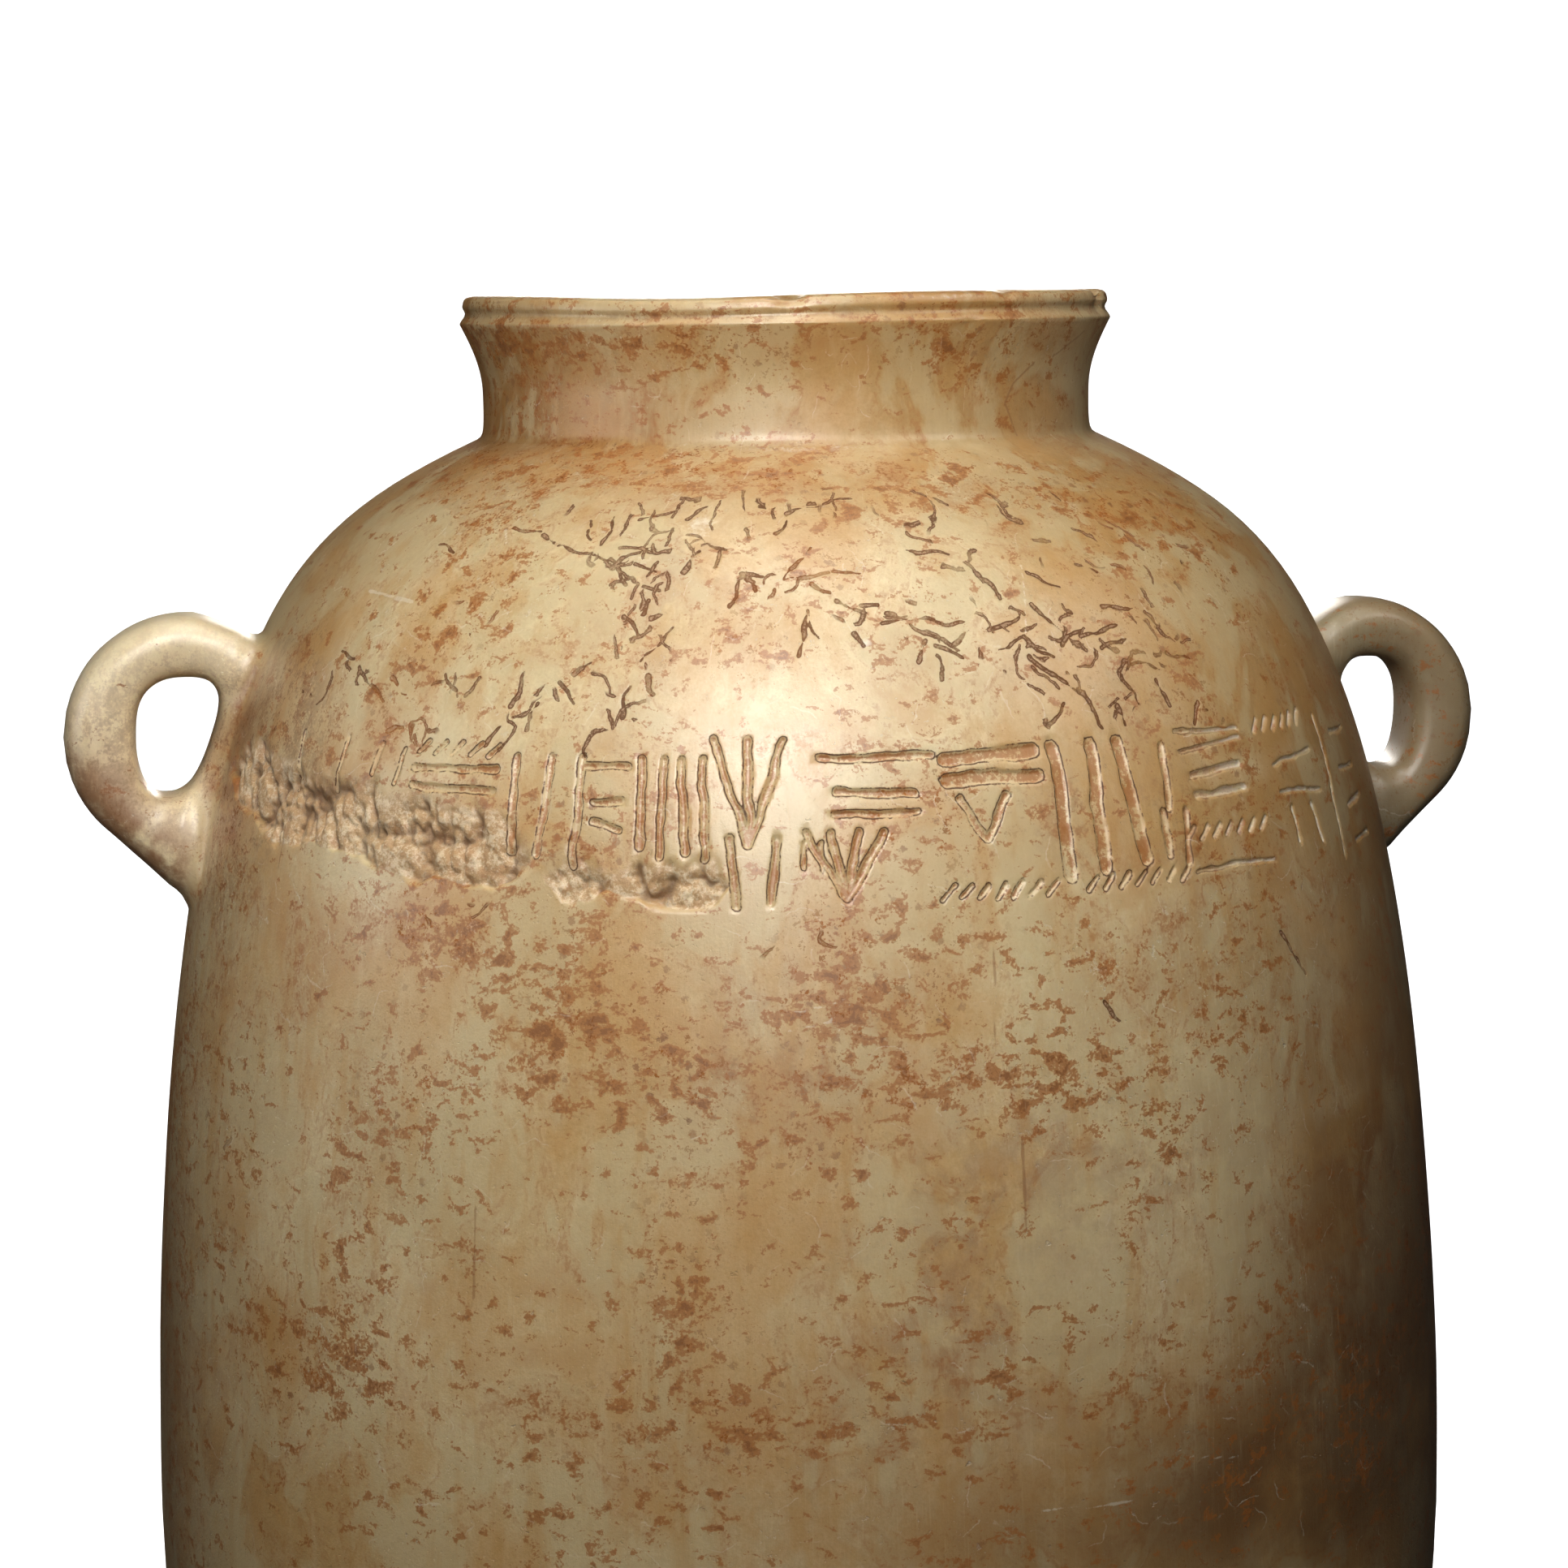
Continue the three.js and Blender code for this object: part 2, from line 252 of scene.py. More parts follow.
def outline_at(row):
    """Radius and height of the outline at a place counted in rows."""
    row = np.clip(np.asarray(row, float), 0, ROWS)
    result = np.zeros(row.shape + (2,))
    for (run, rows), start in zip(RUNS, RUN_STARTS):
        here = (row >= start) & (row <= start + rows)
        result[here] = run((row[here] - start) / rows)
    return result


def outline_normal(row):
    step = 0.04
    along = outline_at(row + step) - outline_at(row - step)
    along /= np.linalg.norm(along, axis=-1)[..., None]
    return np.stack([along[..., 1], -along[..., 0]], -1)


# The outer wall by rows, and its heights, which never fall along it
ROW_TABLE = np.linspace(RUN_STARTS[1], RUN_STARTS[6], 4000)
WALL_LINE = outline_at(ROW_TABLE)
HEIGHT_TABLE = np.maximum.accumulate(WALL_LINE[:, 1])


# Noise

def lattice(i, j, k, seed):
    """A repeatable number from 0 to 1 at each whole point."""
    mixed = (i * 374761393 + j * 668265263 + k * 2147483647 + seed * 974634777) & 0xFFFFFFFF
    mixed = ((mixed ^ (mixed >> 13)) * 1274126177) & 0xFFFFFFFF
    return ((mixed ^ (mixed >> 16)) & 0xFFFF) / 65535.0


def value_noise(points, seed):
    base = np.floor(points).astype(np.int64)
    part = points - base
    part = part * part * (3 - 2 * part)
    total = np.zeros(len(points))
    for corner in range(8):
        offset = np.array([corner & 1, corner >> 1 & 1, corner >> 2 & 1])
        weight = np.prod(np.where(offset, part, 1 - part), axis=1)
        i, j, k = (base + offset).T
        total += weight * lattice(i, j, k, seed)
    return total * 2 - 1


def fractal(points, size, octaves, seed):
    """Noise between about -1 and 1 whose largest lumps are of a size in millimetres."""
    total = np.zeros(len(points))
    for octave in range(octaves):
        total += value_noise(points * (2**octave / size), seed + octave) / 2**octave
    return total / (2 - 2.0 ** (1 - octaves))


def wander(index):
    return math.sin(index * 2.399) * math.cos(index * 1.237 + 0.6)


# Carved strokes: ((angle, height), (angle, height), width)

def level(share):
    return mix(BAND_BOTTOM, BAND_TOP, share)


def spread(start, end, count):
    return [mix(start, end, i / (count - 1) if count > 1 else 0) for i in range(count)]


def posts(start, end, count, foot, head, width):
    strokes = []
    for i, angle in enumerate(spread(start, end, count)):
        lean = 0.5 * wander(i + start)
        bottom = level(foot + 0.06 * wander(i + end))
        strokes.append(((angle - lean, bottom), (angle + lean, level(head)), width))
    return strokes


def bars(start, end, count, foot, head, width):
    strokes = []
    for i, share in enumerate(spread(head, foot, count)):
        tilt = 0.03 * wander(i + start)
        strokes.append(((start, level(share - tilt)), (end, level(share + tilt)), width))
    return strokes


def ticks(start, end, count, share):
    return [
        ((angle - 0.5, level(share) - 1.4), (angle + 0.5, level(share) + 1.4), FINE_STROKE)
        for angle in spread(start, end, count)
    ]


def fan(angle, reach, count, foot, head, width):
    return [
        ((angle, level(foot)), (angle + turn * reach, level(head)), width)
        for turn in spread(-1, 1, count)
    ]


def band_strokes():
    """The band from its left end to its right."""
    return [
        *posts(-65, -58, 2, 0.55, 0.98, FINE_STROKE),
        *posts(-53, -50, 2, 0.75, 0.95, FINE_STROKE),
        *bars(-48, -39, 2, 0.7, 0.84, PLAIN_STROKE),
        *ticks(-47.5, -39.5, 5, 0.98),
        *posts(-36.8, -30.4, 3, 0.27, 0.95, PLAIN_STROKE),
        *bars(-30.2, -26, 1, 0.9, 0.9, PLAIN_STROKE),
        *bars(-29, -26.5, 2, 0.5, 0.66, PLAIN_STROKE),
        *posts(-24.7, -19.1, 4, 0.33, 0.95, PLAIN_STROKE),
        *fan(-15.2, 3.2, 3, 0.38, 1.08, PLAIN_STROKE),
        *posts(-16.4, -13, 2, 0, 0.42, PLAIN_STROKE),
        *posts(-10.4, -8.8, 2, 0.2, 0.4, FINE_STROKE),
        *bars(-9, 1.2, 1, 0.95, 0.95, PLAIN_STROKE),
        *bars(-7.6, -0.6, 2, 0.58, 0.72, PLAIN_STROKE),
        *fan(-6.8, 3.4, 4, 0.02, 0.46, PLAIN_STROKE),
        *bars(2.4, 11, 2, 0.78, 0.93, BROAD_STROKE),
        *fan(5.6, 2.2, 2, 0.36, 0.66, PLAIN_STROKE),
        *ticks(1.8, 11.2, 7, 0.03),
        *posts(13, 20.4, 3, 0.14, 0.96, BROAD_STROKE),
        *posts(23.6, 26, 2, 0.16, 0.46, PLAIN_STROKE),
        *posts(24.6, 25.6, 1, 0.52, 0.92, PLAIN_STROKE),
        *bars(27, 35.6, 2, 0.88, 0.98, FINE_STROKE),
        *bars(28, 34.6, 2, 0.55, 0.7, PLAIN_STROKE),
        *ticks(15, 25, 7, 0.03),
        *ticks(26.4, 36.2, 7, 0.3),
        *bars(26.4, 36.8, 1, 0.03, 0.03, FINE_STROKE),
        *ticks(38.6, 46.8, 6, 0.97),
        *bars(40, 47.5, 2, 0.46, 0.7, FINE_STROKE),
        *posts(41.5, 45.5, 2, 0.08, 0.36, FINE_STROKE),
        *posts(50.4, 51, 1, -0.08, 0.95, FINE_STROKE),
        *bars(54, 58.4, 4, 0, 0.8, FINE_STROKE),
    ]


# Root marks: brown lines that rootlets left on the stone

# (angle, height, heading in degrees, length) of the marks that show most
MARKS = (
    (-47, 449.5, -8, 9), (-42, 448, -30, 5), (-39, 446, -16, 16), (-31.7, 443, -55, 10),
    (-31, 445.5, 3, 8), (-31, 441.5, 39, 7), (-28.5, 442, -31, 6), (-28.5, 445.5, -20, 7),
    (-36.5, 451.5, -66, 8), (-33.5, 446, 91, 11), (-30, 452, 22, 9), (-24, 452, 44, 8),
    (-23.5, 448.5, -30, 12), (-23, 440, 63, 8), (-19.5, 441.5, 86, 5), (-13, 448.5, 67, 8),
    (-11.5, 453, 20, 18), (-27, 437, -9, 4), (-26.5, 431, 70, 4), (-28.5, 430, -42, 8),
    (-26, 420, 53, 12), (-25.5, 430, 22, 4), (-25, 417, -65, 5), (-27, 407.5, 82, 8),
    (-17.5, 432.5, 74, 10), (-16.5, 440, -10, 5), (-16, 440, -75, 6), (-12, 438.5, 52, 12),
    (-12, 438.5, 9, 11), (-6.5, 440, -12, 6), (-9, 437.5, -33, 5), (-6.5, 433.5, -28, 8),
    (-10.5, 421.5, 79, 12), (-9.5, 431.5, -72, 8), (-4, 432.5, -18, 4), (-1.5, 430.5, -9, 20),
    (-2, 428.5, -6, 7), (0.8, 428, -33, 13), (3, 423, -30, 11), (3, 420.5, -79, 6),
    (1, 419.5, 57, 6), (5, 423, 32, 6), (-5, 426, -63, 4), (2, 444.5, -8, 11),
    (9.5, 439, -69, 9), (9, 426, 17, 9), (15.5, 438.5, -35, 10), (22, 439.5, -31, 6),
    (14.5, 431, -52, 10), (9.5, 421.5, 18, 7), (12.5, 424, -40, 9), (12.5, 419.5, -40, 15),
    (17, 411.5, -68, 6), (18, 408.5, -72, 7), (16.5, 421.5, 33, 9), (19, 423.5, 9, 12),
    (21, 420.5, 15, 11), (23, 429.5, -4, 12), (28.5, 427.5, -54, 4), (22.5, 414, -76, 8),
    (26.5, 412, -76, 7), (24, 416, -11, 9), (29, 418, -20, 8), (12.8, 403.5, 42, 8),
    (21, 407, -80, 5), (31, 406, -125, 6), (-59, 415, -28, 14), (-54, 414, -29, 8),
    (-63.5, 419, -9, 7), (-47, 416, -51, 8), (-44, 411, 50, 6), (-38.5, 409, 80, 9),
    (-40.5, 400, 59, 6), (-34, 415.5, -49, 8), (-32.5, 417, 32, 5), (-36.5, 404, 70, 7),
    (-52.5, 402, 22, 5), (-45.5, 425.5, -57, 8), (-57, 445, -17, 8), (36, 349, -55, 14),
    (15, 339.5, -46, 7),
)

# Areas where rootlets left short curls: (angle, height, reach round, reach up, strength)
ROOTED = (
    (-28, 444, 11, 7, 1.0), (-31, 441, 7, 6, 0.6), (-22, 450, 12, 4, 0.6), (-27, 433, 5, 8, 0.9),
    (-26, 421, 6, 9, 0.8), (-26, 410, 5, 6, 0.6), (-15, 438, 7, 6, 0.7), (-10, 439, 9, 4, 0.5),
    (-5, 431, 10, 5, 0.6), (3, 427, 11, 7, 0.7), (10, 426, 9, 8, 0.8), (15, 421, 9, 9, 1.0),
    (20, 419, 9, 9, 0.9), (26, 417, 9, 8, 0.8), (31, 421, 8, 7, 0.6), (22, 408, 6, 7, 0.7),
    (12, 406, 7, 6, 0.5), (-33, 411, 9, 8, 0.8), (-38, 406, 8, 7, 0.7), (-29, 405, 7, 7, 0.6),
    (-47, 403, 9, 5, 0.5), (-60, 413, 8, 5, 0.7), (-66, 410, 7, 5, 0.5), (-50, 416, 12, 8, 0.5),
    (-44, 437, 16, 9, 0.45), (-25, 455, 34, 4, 0.5), (5, 453, 34, 5, 0.5), (25, 444, 26, 9, 0.5),
    (36, 432, 14, 11, 0.5), (8, 442, 16, 7, 0.5), (33, 404, 9, 6, 0.5), (-42, 361, 20, 6, 0.4),
    (-10, 355, 24, 6, 0.4), (14, 320, 14, 8, 0.4), (-70, 300, 26, 50, 0.22), (0, 250, 90, 50, 0.17),
    (110, 400, 90, 50, 0.6), (-140, 410, 90, 40, 0.55), (170, 330, 90, 80, 0.45),
)


def curled(angle, height, heading, length, curl, width):
    """A mark as short straight pieces whose heading swings to and fro."""
    pieces = []
    count = max(2, round(length / 1.4))
    place = np.array([0.0, 0.0])
    radius = float(wall_radius(height))
    sheet = float(sheet_of(height))
    for i in range(count):
        turn = math.radians(heading + curl * math.sin(0.9 * i + heading))
        step = length / count * np.array([math.cos(turn), math.sin(turn)])
        ends = []
        for at in (place, place + step):
            ends.append((angle + math.degrees(at[0] / radius), sheet + at[1]))
        taper = width * (1.0 - 0.4 * i / count)
        pieces.append((*ends, taper))
        place = place + step
    return pieces


def root_marks():
    rng = np.random.default_rng(41)
    pieces = []
    for angle, height, heading, length in MARKS:
        pieces += curled(angle, height, heading, length, rng.uniform(6, 22), rng.uniform(0.9, 1.5))
    return pieces


def warped(angle, sheet, reach, size, seed):
    """Places pushed about a little, so that what is laid out straight comes out by hand."""
    places = np.stack([np.radians(angle) * sheet_radius(sheet), sheet, np.zeros(len(angle))], 1)
    push = reach * fractal(places, size, 2, seed)
    lift = reach * fractal(places, size, 2, seed + 5)
    return angle + np.degrees(push / sheet_radius(sheet)), sheet + lift, places


def stroke_gaps(angle, sheet, strokes):
    """Distance off the carved strokes, whose edges waver."""
    moved_angle, moved_sheet, places = warped(angle, sheet, 0.8, 8, 71)
    return distance_field(moved_angle, moved_sheet, strokes, 2.5) + 0.3 * fractal(places, 2.6, 2, 77)


def mark_gaps(angle, sheet, marks):
    """Distance off the root marks, which thin out and break off along their way."""
    moved_angle, moved_sheet, places = warped(angle, sheet, 0.5, 3.5, 81)
    gap = distance_field(moved_angle, moved_sheet, marks, 2.0)
    return gap + 0.25 * fractal(places, 1.6, 2, 87) + 0.5 * smooth(0.15, 0.6, fractal(places, 4, 2, 91))


# Length along the outer outline, which with the angle makes a flat sheet of the wall

SHEET_TABLE = np.concatenate([[0], np.cumsum(np.linalg.norm(np.diff(WALL_LINE, axis=0), axis=1))])


def sheet_of(height):
    return np.interp(height, HEIGHT_TABLE, SHEET_TABLE)


def row_of_sheet(sheet):
    return np.interp(sheet, SHEET_TABLE, ROW_TABLE)


def on_sheet(lines):
    """Lines given as ((angle, height), (angle, height), width), laid out on the sheet."""
    return [((a[0], float(sheet_of(a[1]))), (b[0], float(sheet_of(b[1]))), w) for a, b, w in lines]


def sheet_radius(sheet):
    return np.interp(sheet, SHEET_TABLE, WALL_LINE[:, 0])


def distance_field(angle, sheet, pieces, reach):
    """For each place, the least distance to the pieces' middle lines less their half widths."""
    order = np.argsort(angle)
    angle_sorted, sheet_sorted = angle[order], sheet[order]
    gap = np.full(len(angle), reach)
    for (a0, s0), (a1, s1), width in pieces:
        radius = float(sheet_radius((s0 + s1) / 2))
        degree = math.radians(1) * radius
        margin = reach + width / 2
        low = np.searchsorted(angle_sorted, min(a0, a1) - margin / degree)
        high = np.searchsorted(angle_sorted, max(a0, a1) + margin / degree)
        near = np.arange(low, high)
        s_near = sheet_sorted[near]
        near = near[(s_near > min(s0, s1) - margin) & (s_near < max(s0, s1) + margin)]
        x = (angle_sorted[near] - a0) * degree
        y = sheet_sorted[near] - s0
        dx, dy = (a1 - a0) * degree, s1 - s0
        share = np.clip((x * dx + y * dy) / max(dx * dx + dy * dy, 1e-9), 0, 1)
        found = np.hypot(x - share * dx, y - share * dy) - width / 2
        closer = found < gap[near]
        gap[near[closer]] = found[closer]
    in_order = np.empty_like(gap)
    in_order[order] = gap
    return in_order


# The mesh of the body: cells on the sheet, finer where there is detail

def samples_along(pieces, spacing, side):
    """Places along pieces and to both sides of them, as (angle, sheet)."""
    places = []
    for (a0, s0), (a1, s1), width in pieces:
        radius = float(sheet_radius((s0 + s1) / 2))
        degree = math.radians(1) * radius
        dx, dy = (a1 - a0) * degree, s1 - s0
        length = math.hypot(dx, dy) + 1e-6
        t = np.linspace(-side / length, 1 + side / length, max(2, int(length / spacing) + 3))
        across = np.arange(-(width / 2 + side), width / 2 + side + spacing, spacing)
        t, across = (g.ravel() for g in np.meshgrid(t, across))
        x = t * dx - across * dy / length
        y = t * dy + across * dx / length
        places.append(np.stack([a0 + x / degree, s0 + y], 1))
    return np.vstack(places)


def patch_samples(start, end, half, spacing):
    (a0, h0), (a1, h1) = start, end
    degree = math.radians(1) * float(wall_radius(h0))
    along = np.linspace(0, 1, int((a1 - a0) * degree / spacing))
    up = np.arange(-half, half, spacing)
    along, up = (g.ravel() for g in np.meshgrid(along, up))
    return np.stack([mix(a0, a1, along), sheet_of(mix(h0, h1, along)) + up], 1)


def cells_of(places, depth):
    """Whole cell numbers at a depth for places given as (angle, sheet)."""
    size = 2**depth
    column = np.floor(places[:, 0] / 360.0 * ROOT_COLUMNS * size).astype(np.int64)
    row = np.floor(row_of_sheet(places[:, 1]) * size).astype(np.int64)
    return np.stack([column % (ROOT_COLUMNS * size), np.clip(row, 0, ROWS * size - 1)], 1)


def keyed(cells):
    return cells[:, 0] * 1000000 + cells[:, 1]


def unkeyed(keys):
    return np.stack([keys // 1000000, keys % 1000000], 1)


def split_sets(wanted):
    """The cells to split at each depth, so that neighbours differ by one depth at most."""
    sets = []
    for depth in range(FINEST):
        keys = [keyed(cells_of(places, depth)) for places, need in wanted if need > depth]
        sets.append(np.unique(np.concatenate(keys)) if keys else np.zeros(0, np.int64))
    front = FRONT_COLUMNS % ROOT_COLUMNS
    first = np.stack(np.meshgrid(front, np.arange(RUN_STARTS[2], OUTER_ROWS), indexing="ij"), -1)
    sets[0] = np.union1d(sets[0], keyed(first.reshape(-1, 2)))
    for depth in range(FINEST - 1, 0, -1):
        cells = unkeyed(sets[depth])
        for i in (-1, 0, 1):
            for j in (-1, 0, 1):
                near = cells + [i, j]
                near[:, 0] %= ROOT_COLUMNS * 2**depth
                near[:, 1] = np.clip(near[:, 1], 0, ROWS * 2**depth - 1)
                sets[depth - 1] = np.union1d(sets[depth - 1], keyed(near // 2))
    return sets


def leaf_cells(sets):
    """Every cell that isn't split, as (column, row, size) in the finest units."""
    grid = np.stack(np.meshgrid(np.arange(ROOT_COLUMNS), np.arange(ROWS), indexing="ij"), -1)
    alive = keyed(grid.reshape(-1, 2))
    leaves = []
    for depth in range(FINEST + 1):
        split = np.isin(alive, sets[depth]) if depth < FINEST else np.zeros(len(alive), bool)
        kept = unkeyed(alive[~split])
        size = 2 ** (FINEST - depth)
        leaves.append(np.column_stack([kept * size, np.full(len(kept), size)]))
        parents = unkeyed(alive[split]) * 2
        alive = np.concatenate([keyed(parents + [i, j]) for i in (0, 1) for j in (0, 1)])
    return np.vstack(leaves)


def cell_faces(leaves):
    """Corner places and faces of the cells; a face takes in its finer neighbours' corners."""
    around = ROOT_COLUMNS * 2**FINEST
    corners = np.array([(0, 0), (1, 0), (1, 1), (0, 1)])
    spots = leaves[:, None, :2] + corners[None] * leaves[:, None, 2:]
    spots[..., 0] %= around
    keys = np.unique(keyed(spots.reshape(-1, 2)))
    ring = np.array([(0, 0), (0.5, 0), (1, 0), (1, 0.5), (1, 1), (0.5, 1), (0, 1), (0, 0.5)])
    rim = (leaves[:, None, :2] * 2 + np.round(ring[None] * 2 * leaves[:, None, 2:]).astype(np.int64))
    whole = (rim % 2 == 0).all(-1)
    rim //= 2
    rim[..., 0] %= around
    rim_keys = rim[..., 0] * 1000000 + rim[..., 1]
    found = np.searchsorted(keys, rim_keys)
    found = np.clip(found, 0, len(keys) - 1)
    there = whole & (keys[found] == rim_keys)
    faces = [row[mask].tolist() for row, mask in zip(found, there)]
    places = unkeyed(keys).astype(float) / 2**FINEST
    return places, faces


def cap(places, faces, row, outward):
    """Close the small ring at one end of the outline with a fan."""
    ring = np.nonzero(places[:, 1] == row)[0]
    ring = ring[np.argsort(places[ring, 0])]
    centre = len(places)
    for a, b in zip(ring, np.roll(ring, -1)):
        faces.append([int(b), int(a), centre] if outward else [int(a), int(b), centre])
    return centre


# Relief: how far the stone's face lies off its turned outline, in millimetres along the normal

def unevenness(points):
    """Slow waves and faint tool flats left from shaping by hand."""
    slow = fractal(points, 110, 3, 3)
    flats = fractal(points, 26, 2, 9)
    return 0.45 * (slow - 0.3) + 0.12 * flats


def flat_places(angle, sheet, height):
    """Places on the wall as points of a flat sheet in millimetres, for noise."""
    return np.stack([np.radians(angle) * wall_radius(height), sheet, np.zeros(len(angle))], 1)


def spall_mask(angle, sheet, height):
    """1 where the face has come away, with a crumbled border."""
    mask = np.zeros(len(angle))
    places = flat_places(angle, sheet, height)
    crumble = 4.5 * fractal(places, 15, 3, 21) + 1.2 * fractal(places, 4, 2, 27)
    for (a0, h0), (a1, h1), half in SPALLS:
        degree = math.radians(1) * float(wall_radius(h0))
        share = np.clip((angle - a0) / (a1 - a0), 0, 1)
        middle = sheet_of(mix(h0, h1, share))
        past = np.maximum(a0 - angle, angle - a1) * degree
        inside = half - np.abs(sheet - middle) - np.maximum(past + half / 2, 0) + crumble
        soft = np.where(sheet > middle, 5.0, 1.0)
        mask = np.maximum(mask, smooth(-0.4 * soft, 1.1 * soft, inside))
    return mask


def broken_face(places):
    """Lumps of the broken stone with sharp creases between them, from -1 in those to 1 on top."""
    places = places * [1, 0.75, 1]
    lumps = np.abs(fractal(places, 8, 1, 45)) + 0.7 * np.abs(fractal(places, 3.6, 2, 33))
    return np.clip(2.4 * lumps - 1, -1, 1)


def wall_relief(angle, sheet, height, strokes, marks):
    places = flat_places(angle, sheet, height)
    grain = fractal(places, 5, 3, 33)
    crumb = fractal(places, 2.2, 2, 39)
    spalled = spall_mask(angle, sheet, height)
    stroke_cut = 1 - smooth(-0.7, 0.15, strokes)
    mark_cut = 1 - smooth(-0.4, 0.3, marks)
    depth = STROKE_DEPTH * stroke_cut * (0.9 + 0.25 * grain)
    depth = np.maximum(depth, 0.16 * mark_cut * (1 + 0.6 * crumb))
    broken = SPALL_DEPTH * (0.6 - 0.6 * broken_face(places)) + 0.35 * crumb
    return -mix(depth, np.maximum(broken, 0.0), spalled)


# Chips out of the rim: (angle, height, reach, depth)
CHIPS = ((-10.8, 506, 4.5, 1.1), (-36, 499.5, 2.2, 0.7), (21, 498, 2.5, 0.8), (29, 506, 3, 0.7),
         (62, 505, 6, 1.6), (118, 506, 7, 2), (171, 505, 5, 1.3), (-134, 506, 8, 1.8), (-98, 505, 4, 1))


def chip_relief(points, radius, height, angle):
    cut = np.zeros(len(points))
    rough = fractal(points, 5, 2, 51)
    for chip_angle, chip_height, reach, depth in CHIPS:
        around = ((angle - chip_angle + 180) % 360 - 180) * math.radians(1) * radius
        far = np.hypot(around, height - chip_height) / reach
        cut += depth * (1 - smooth(0.35, 1.0, far + 0.25 * rough)) * (radius > RIM_TOP_RADIUS - 3)
    return -cut


def rim_sag(angle, height):
    """The mouth isn't quite level: it is worn lower at its front left, and behind."""
    around = (angle + 30 + 180) % 360 - 180
    behind = smooth(0.0, 0.7, -np.cos(np.radians(angle + 11.5)))
    return -(1.2 * np.exp(-((around / 26) ** 2)) + 1.9 * behind) * smooth(497, 503, height)


# Handles: a ring of stone round the eye, with its root sunk in the wall

def handle_contour(drop):
    """The ring's outer edge in the handle's own plane, from the lower root to the upper one."""
    centre = np.array([HANDLE_REACH - HANDLE_LOOP_RADIUS, HANDLE_CENTRE_HEIGHT - drop])
    turns = np.radians(np.linspace(HANDLE_TAIL_ANGLE, 90 + HANDLE_TOP_SLOPE, 50))
    arc = centre + HANDLE_LOOP_RADIUS * np.stack([np.cos(turns), np.sin(turns)], 1)
    top_height = arc[-1, 1] - HANDLE_ROOT_DROP
    upper = (wall_radius(top_height) - ROOT_SINK, top_height)
    slope = math.tan(math.radians(90 + HANDLE_TAIL_ANGLE))
    inward = float(wall_radius(arc[0, 1])) - ROOT_SINK
    lower = (inward, arc[0, 1] - (arc[0, 0] - inward) * slope)
    return np.vstack([lower, arc, upper])


def handle_eye(drop, turn):
    """The eye's edge in the handle's plane, its inner side a strip away from the wall."""
    squared = np.sign(np.sin(turn)) * np.abs(np.sin(turn)) ** EYE_SQUARENESS
    height = HANDLE_CENTRE_HEIGHT + EYE_LIFT - drop + squared * EYE_HEIGHT / 2
    reach = np.sign(np.cos(turn)) * np.abs(np.cos(turn)) ** EYE_SQUARENESS
    inner = wall_radius(height) + EYE_STRIP
    return np.stack([mix(inner, HANDLE_REACH - HANDLE_ARM, (1 + reach) / 2), height], 1)


def cast(centre, directions, contour):
    """Where rays from a centre meet a closed line of straight pieces."""
    start, end = contour, np.roll(contour, -1, axis=0)
    side = end - start
    gap = start - centre
    cross = directions[:, None, 0] * side[None, :, 1] - directions[:, None, 1] * side[None, :, 0]
    cross = np.where(np.abs(cross) < 1e-9, 1e-9, cross)
    along = (gap[:, 0] * side[:, 1] - gap[:, 1] * side[:, 0])[None] / cross
    share = (gap[None, :, 0] * directions[:, None, 1] - gap[None, :, 1] * directions[:, None, 0]) / cross
    met = np.where((share >= -1e-6) & (share <= 1 + 1e-6) & (along > 0), along, np.inf)
    return centre + directions * met.min(axis=1)[:, None]


def handle_points(drop):
    """Rows of points round the ring's section, one row for each turn round the eye."""
    turn = np.linspace(0, 2 * np.pi, HANDLE_TURNS, endpoint=False)
    eye = handle_eye(drop, turn)
    centre = eye.mean(axis=0)
    outward = eye - centre
    outward /= np.linalg.norm(outward, axis=1)[:, None]
    edge = cast(centre, outward, handle_contour(drop))
    middle = mix(eye, edge, 0.5)
    near_wall = 1 - smooth(2, 16, middle[:, 0] - wall_radius(middle[:, 1]))
    round_section = np.linspace(0, 2 * np.pi, HANDLE_SECTION, endpoint=False)
    across = np.sign(np.cos(round_section)) * np.abs(np.cos(round_section)) ** HANDLE_ROUNDNESS
    outside = np.sign(np.sin(round_section)) * np.abs(np.sin(round_section)) ** HANDLE_ROUNDNESS
    share = (1 + across) / 2
    plane = mix(eye[:, None], edge[:, None], share[None, :, None])
    half = HANDLE_WIDTH / 2 - 0.7 + HANDLE_FLARE * near_wall
    ridge = 0.7 * np.exp(-(((share - 0.66) / 0.12) ** 2))
    width = (half[:, None] + ridge[None]) * outside[None]
    return np.concatenate([plane[..., :1], width[..., None], plane[..., 1:]], -1)


def handle_mesh(side, drop):
    points = handle_points(drop)
    turns, around = points.shape[:2]
    flat = points.reshape(-1, 3) * [side, -side, 1]
    edges = np.roll(points, -1, 0) - np.roll(points, 1, 0)
    spokes = np.roll(points, -1, 1) - np.roll(points, 1, 1)
    normal = np.cross(spokes, edges).reshape(-1, 3) * [side, -side, 1]
    normal /= np.linalg.norm(normal, axis=1)[:, None] + 1e-9
    flat = flat + normal * (0.5 * fractal(flat, 24, 3, 61) - 0.45)[:, None]
    faces = []
    for i in range(turns):
        for j in range(around):
            ring, spoke = (i + 1) % turns, (j + 1) % around
            faces.append((i * around + j, ring * around + j, ring * around + spoke, i * around + spoke))
    return flat, faces


# Building the jar

def linked(name, data):
    thing = bpy.data.objects.new(name, data)
    bpy.context.collection.objects.link(thing)
    return thing


def mesh_points(mesh):
    points = np.empty(len(mesh.vertices) * 3)
    mesh.vertices.foreach_get("co", points)
    return points.reshape(-1, 3)


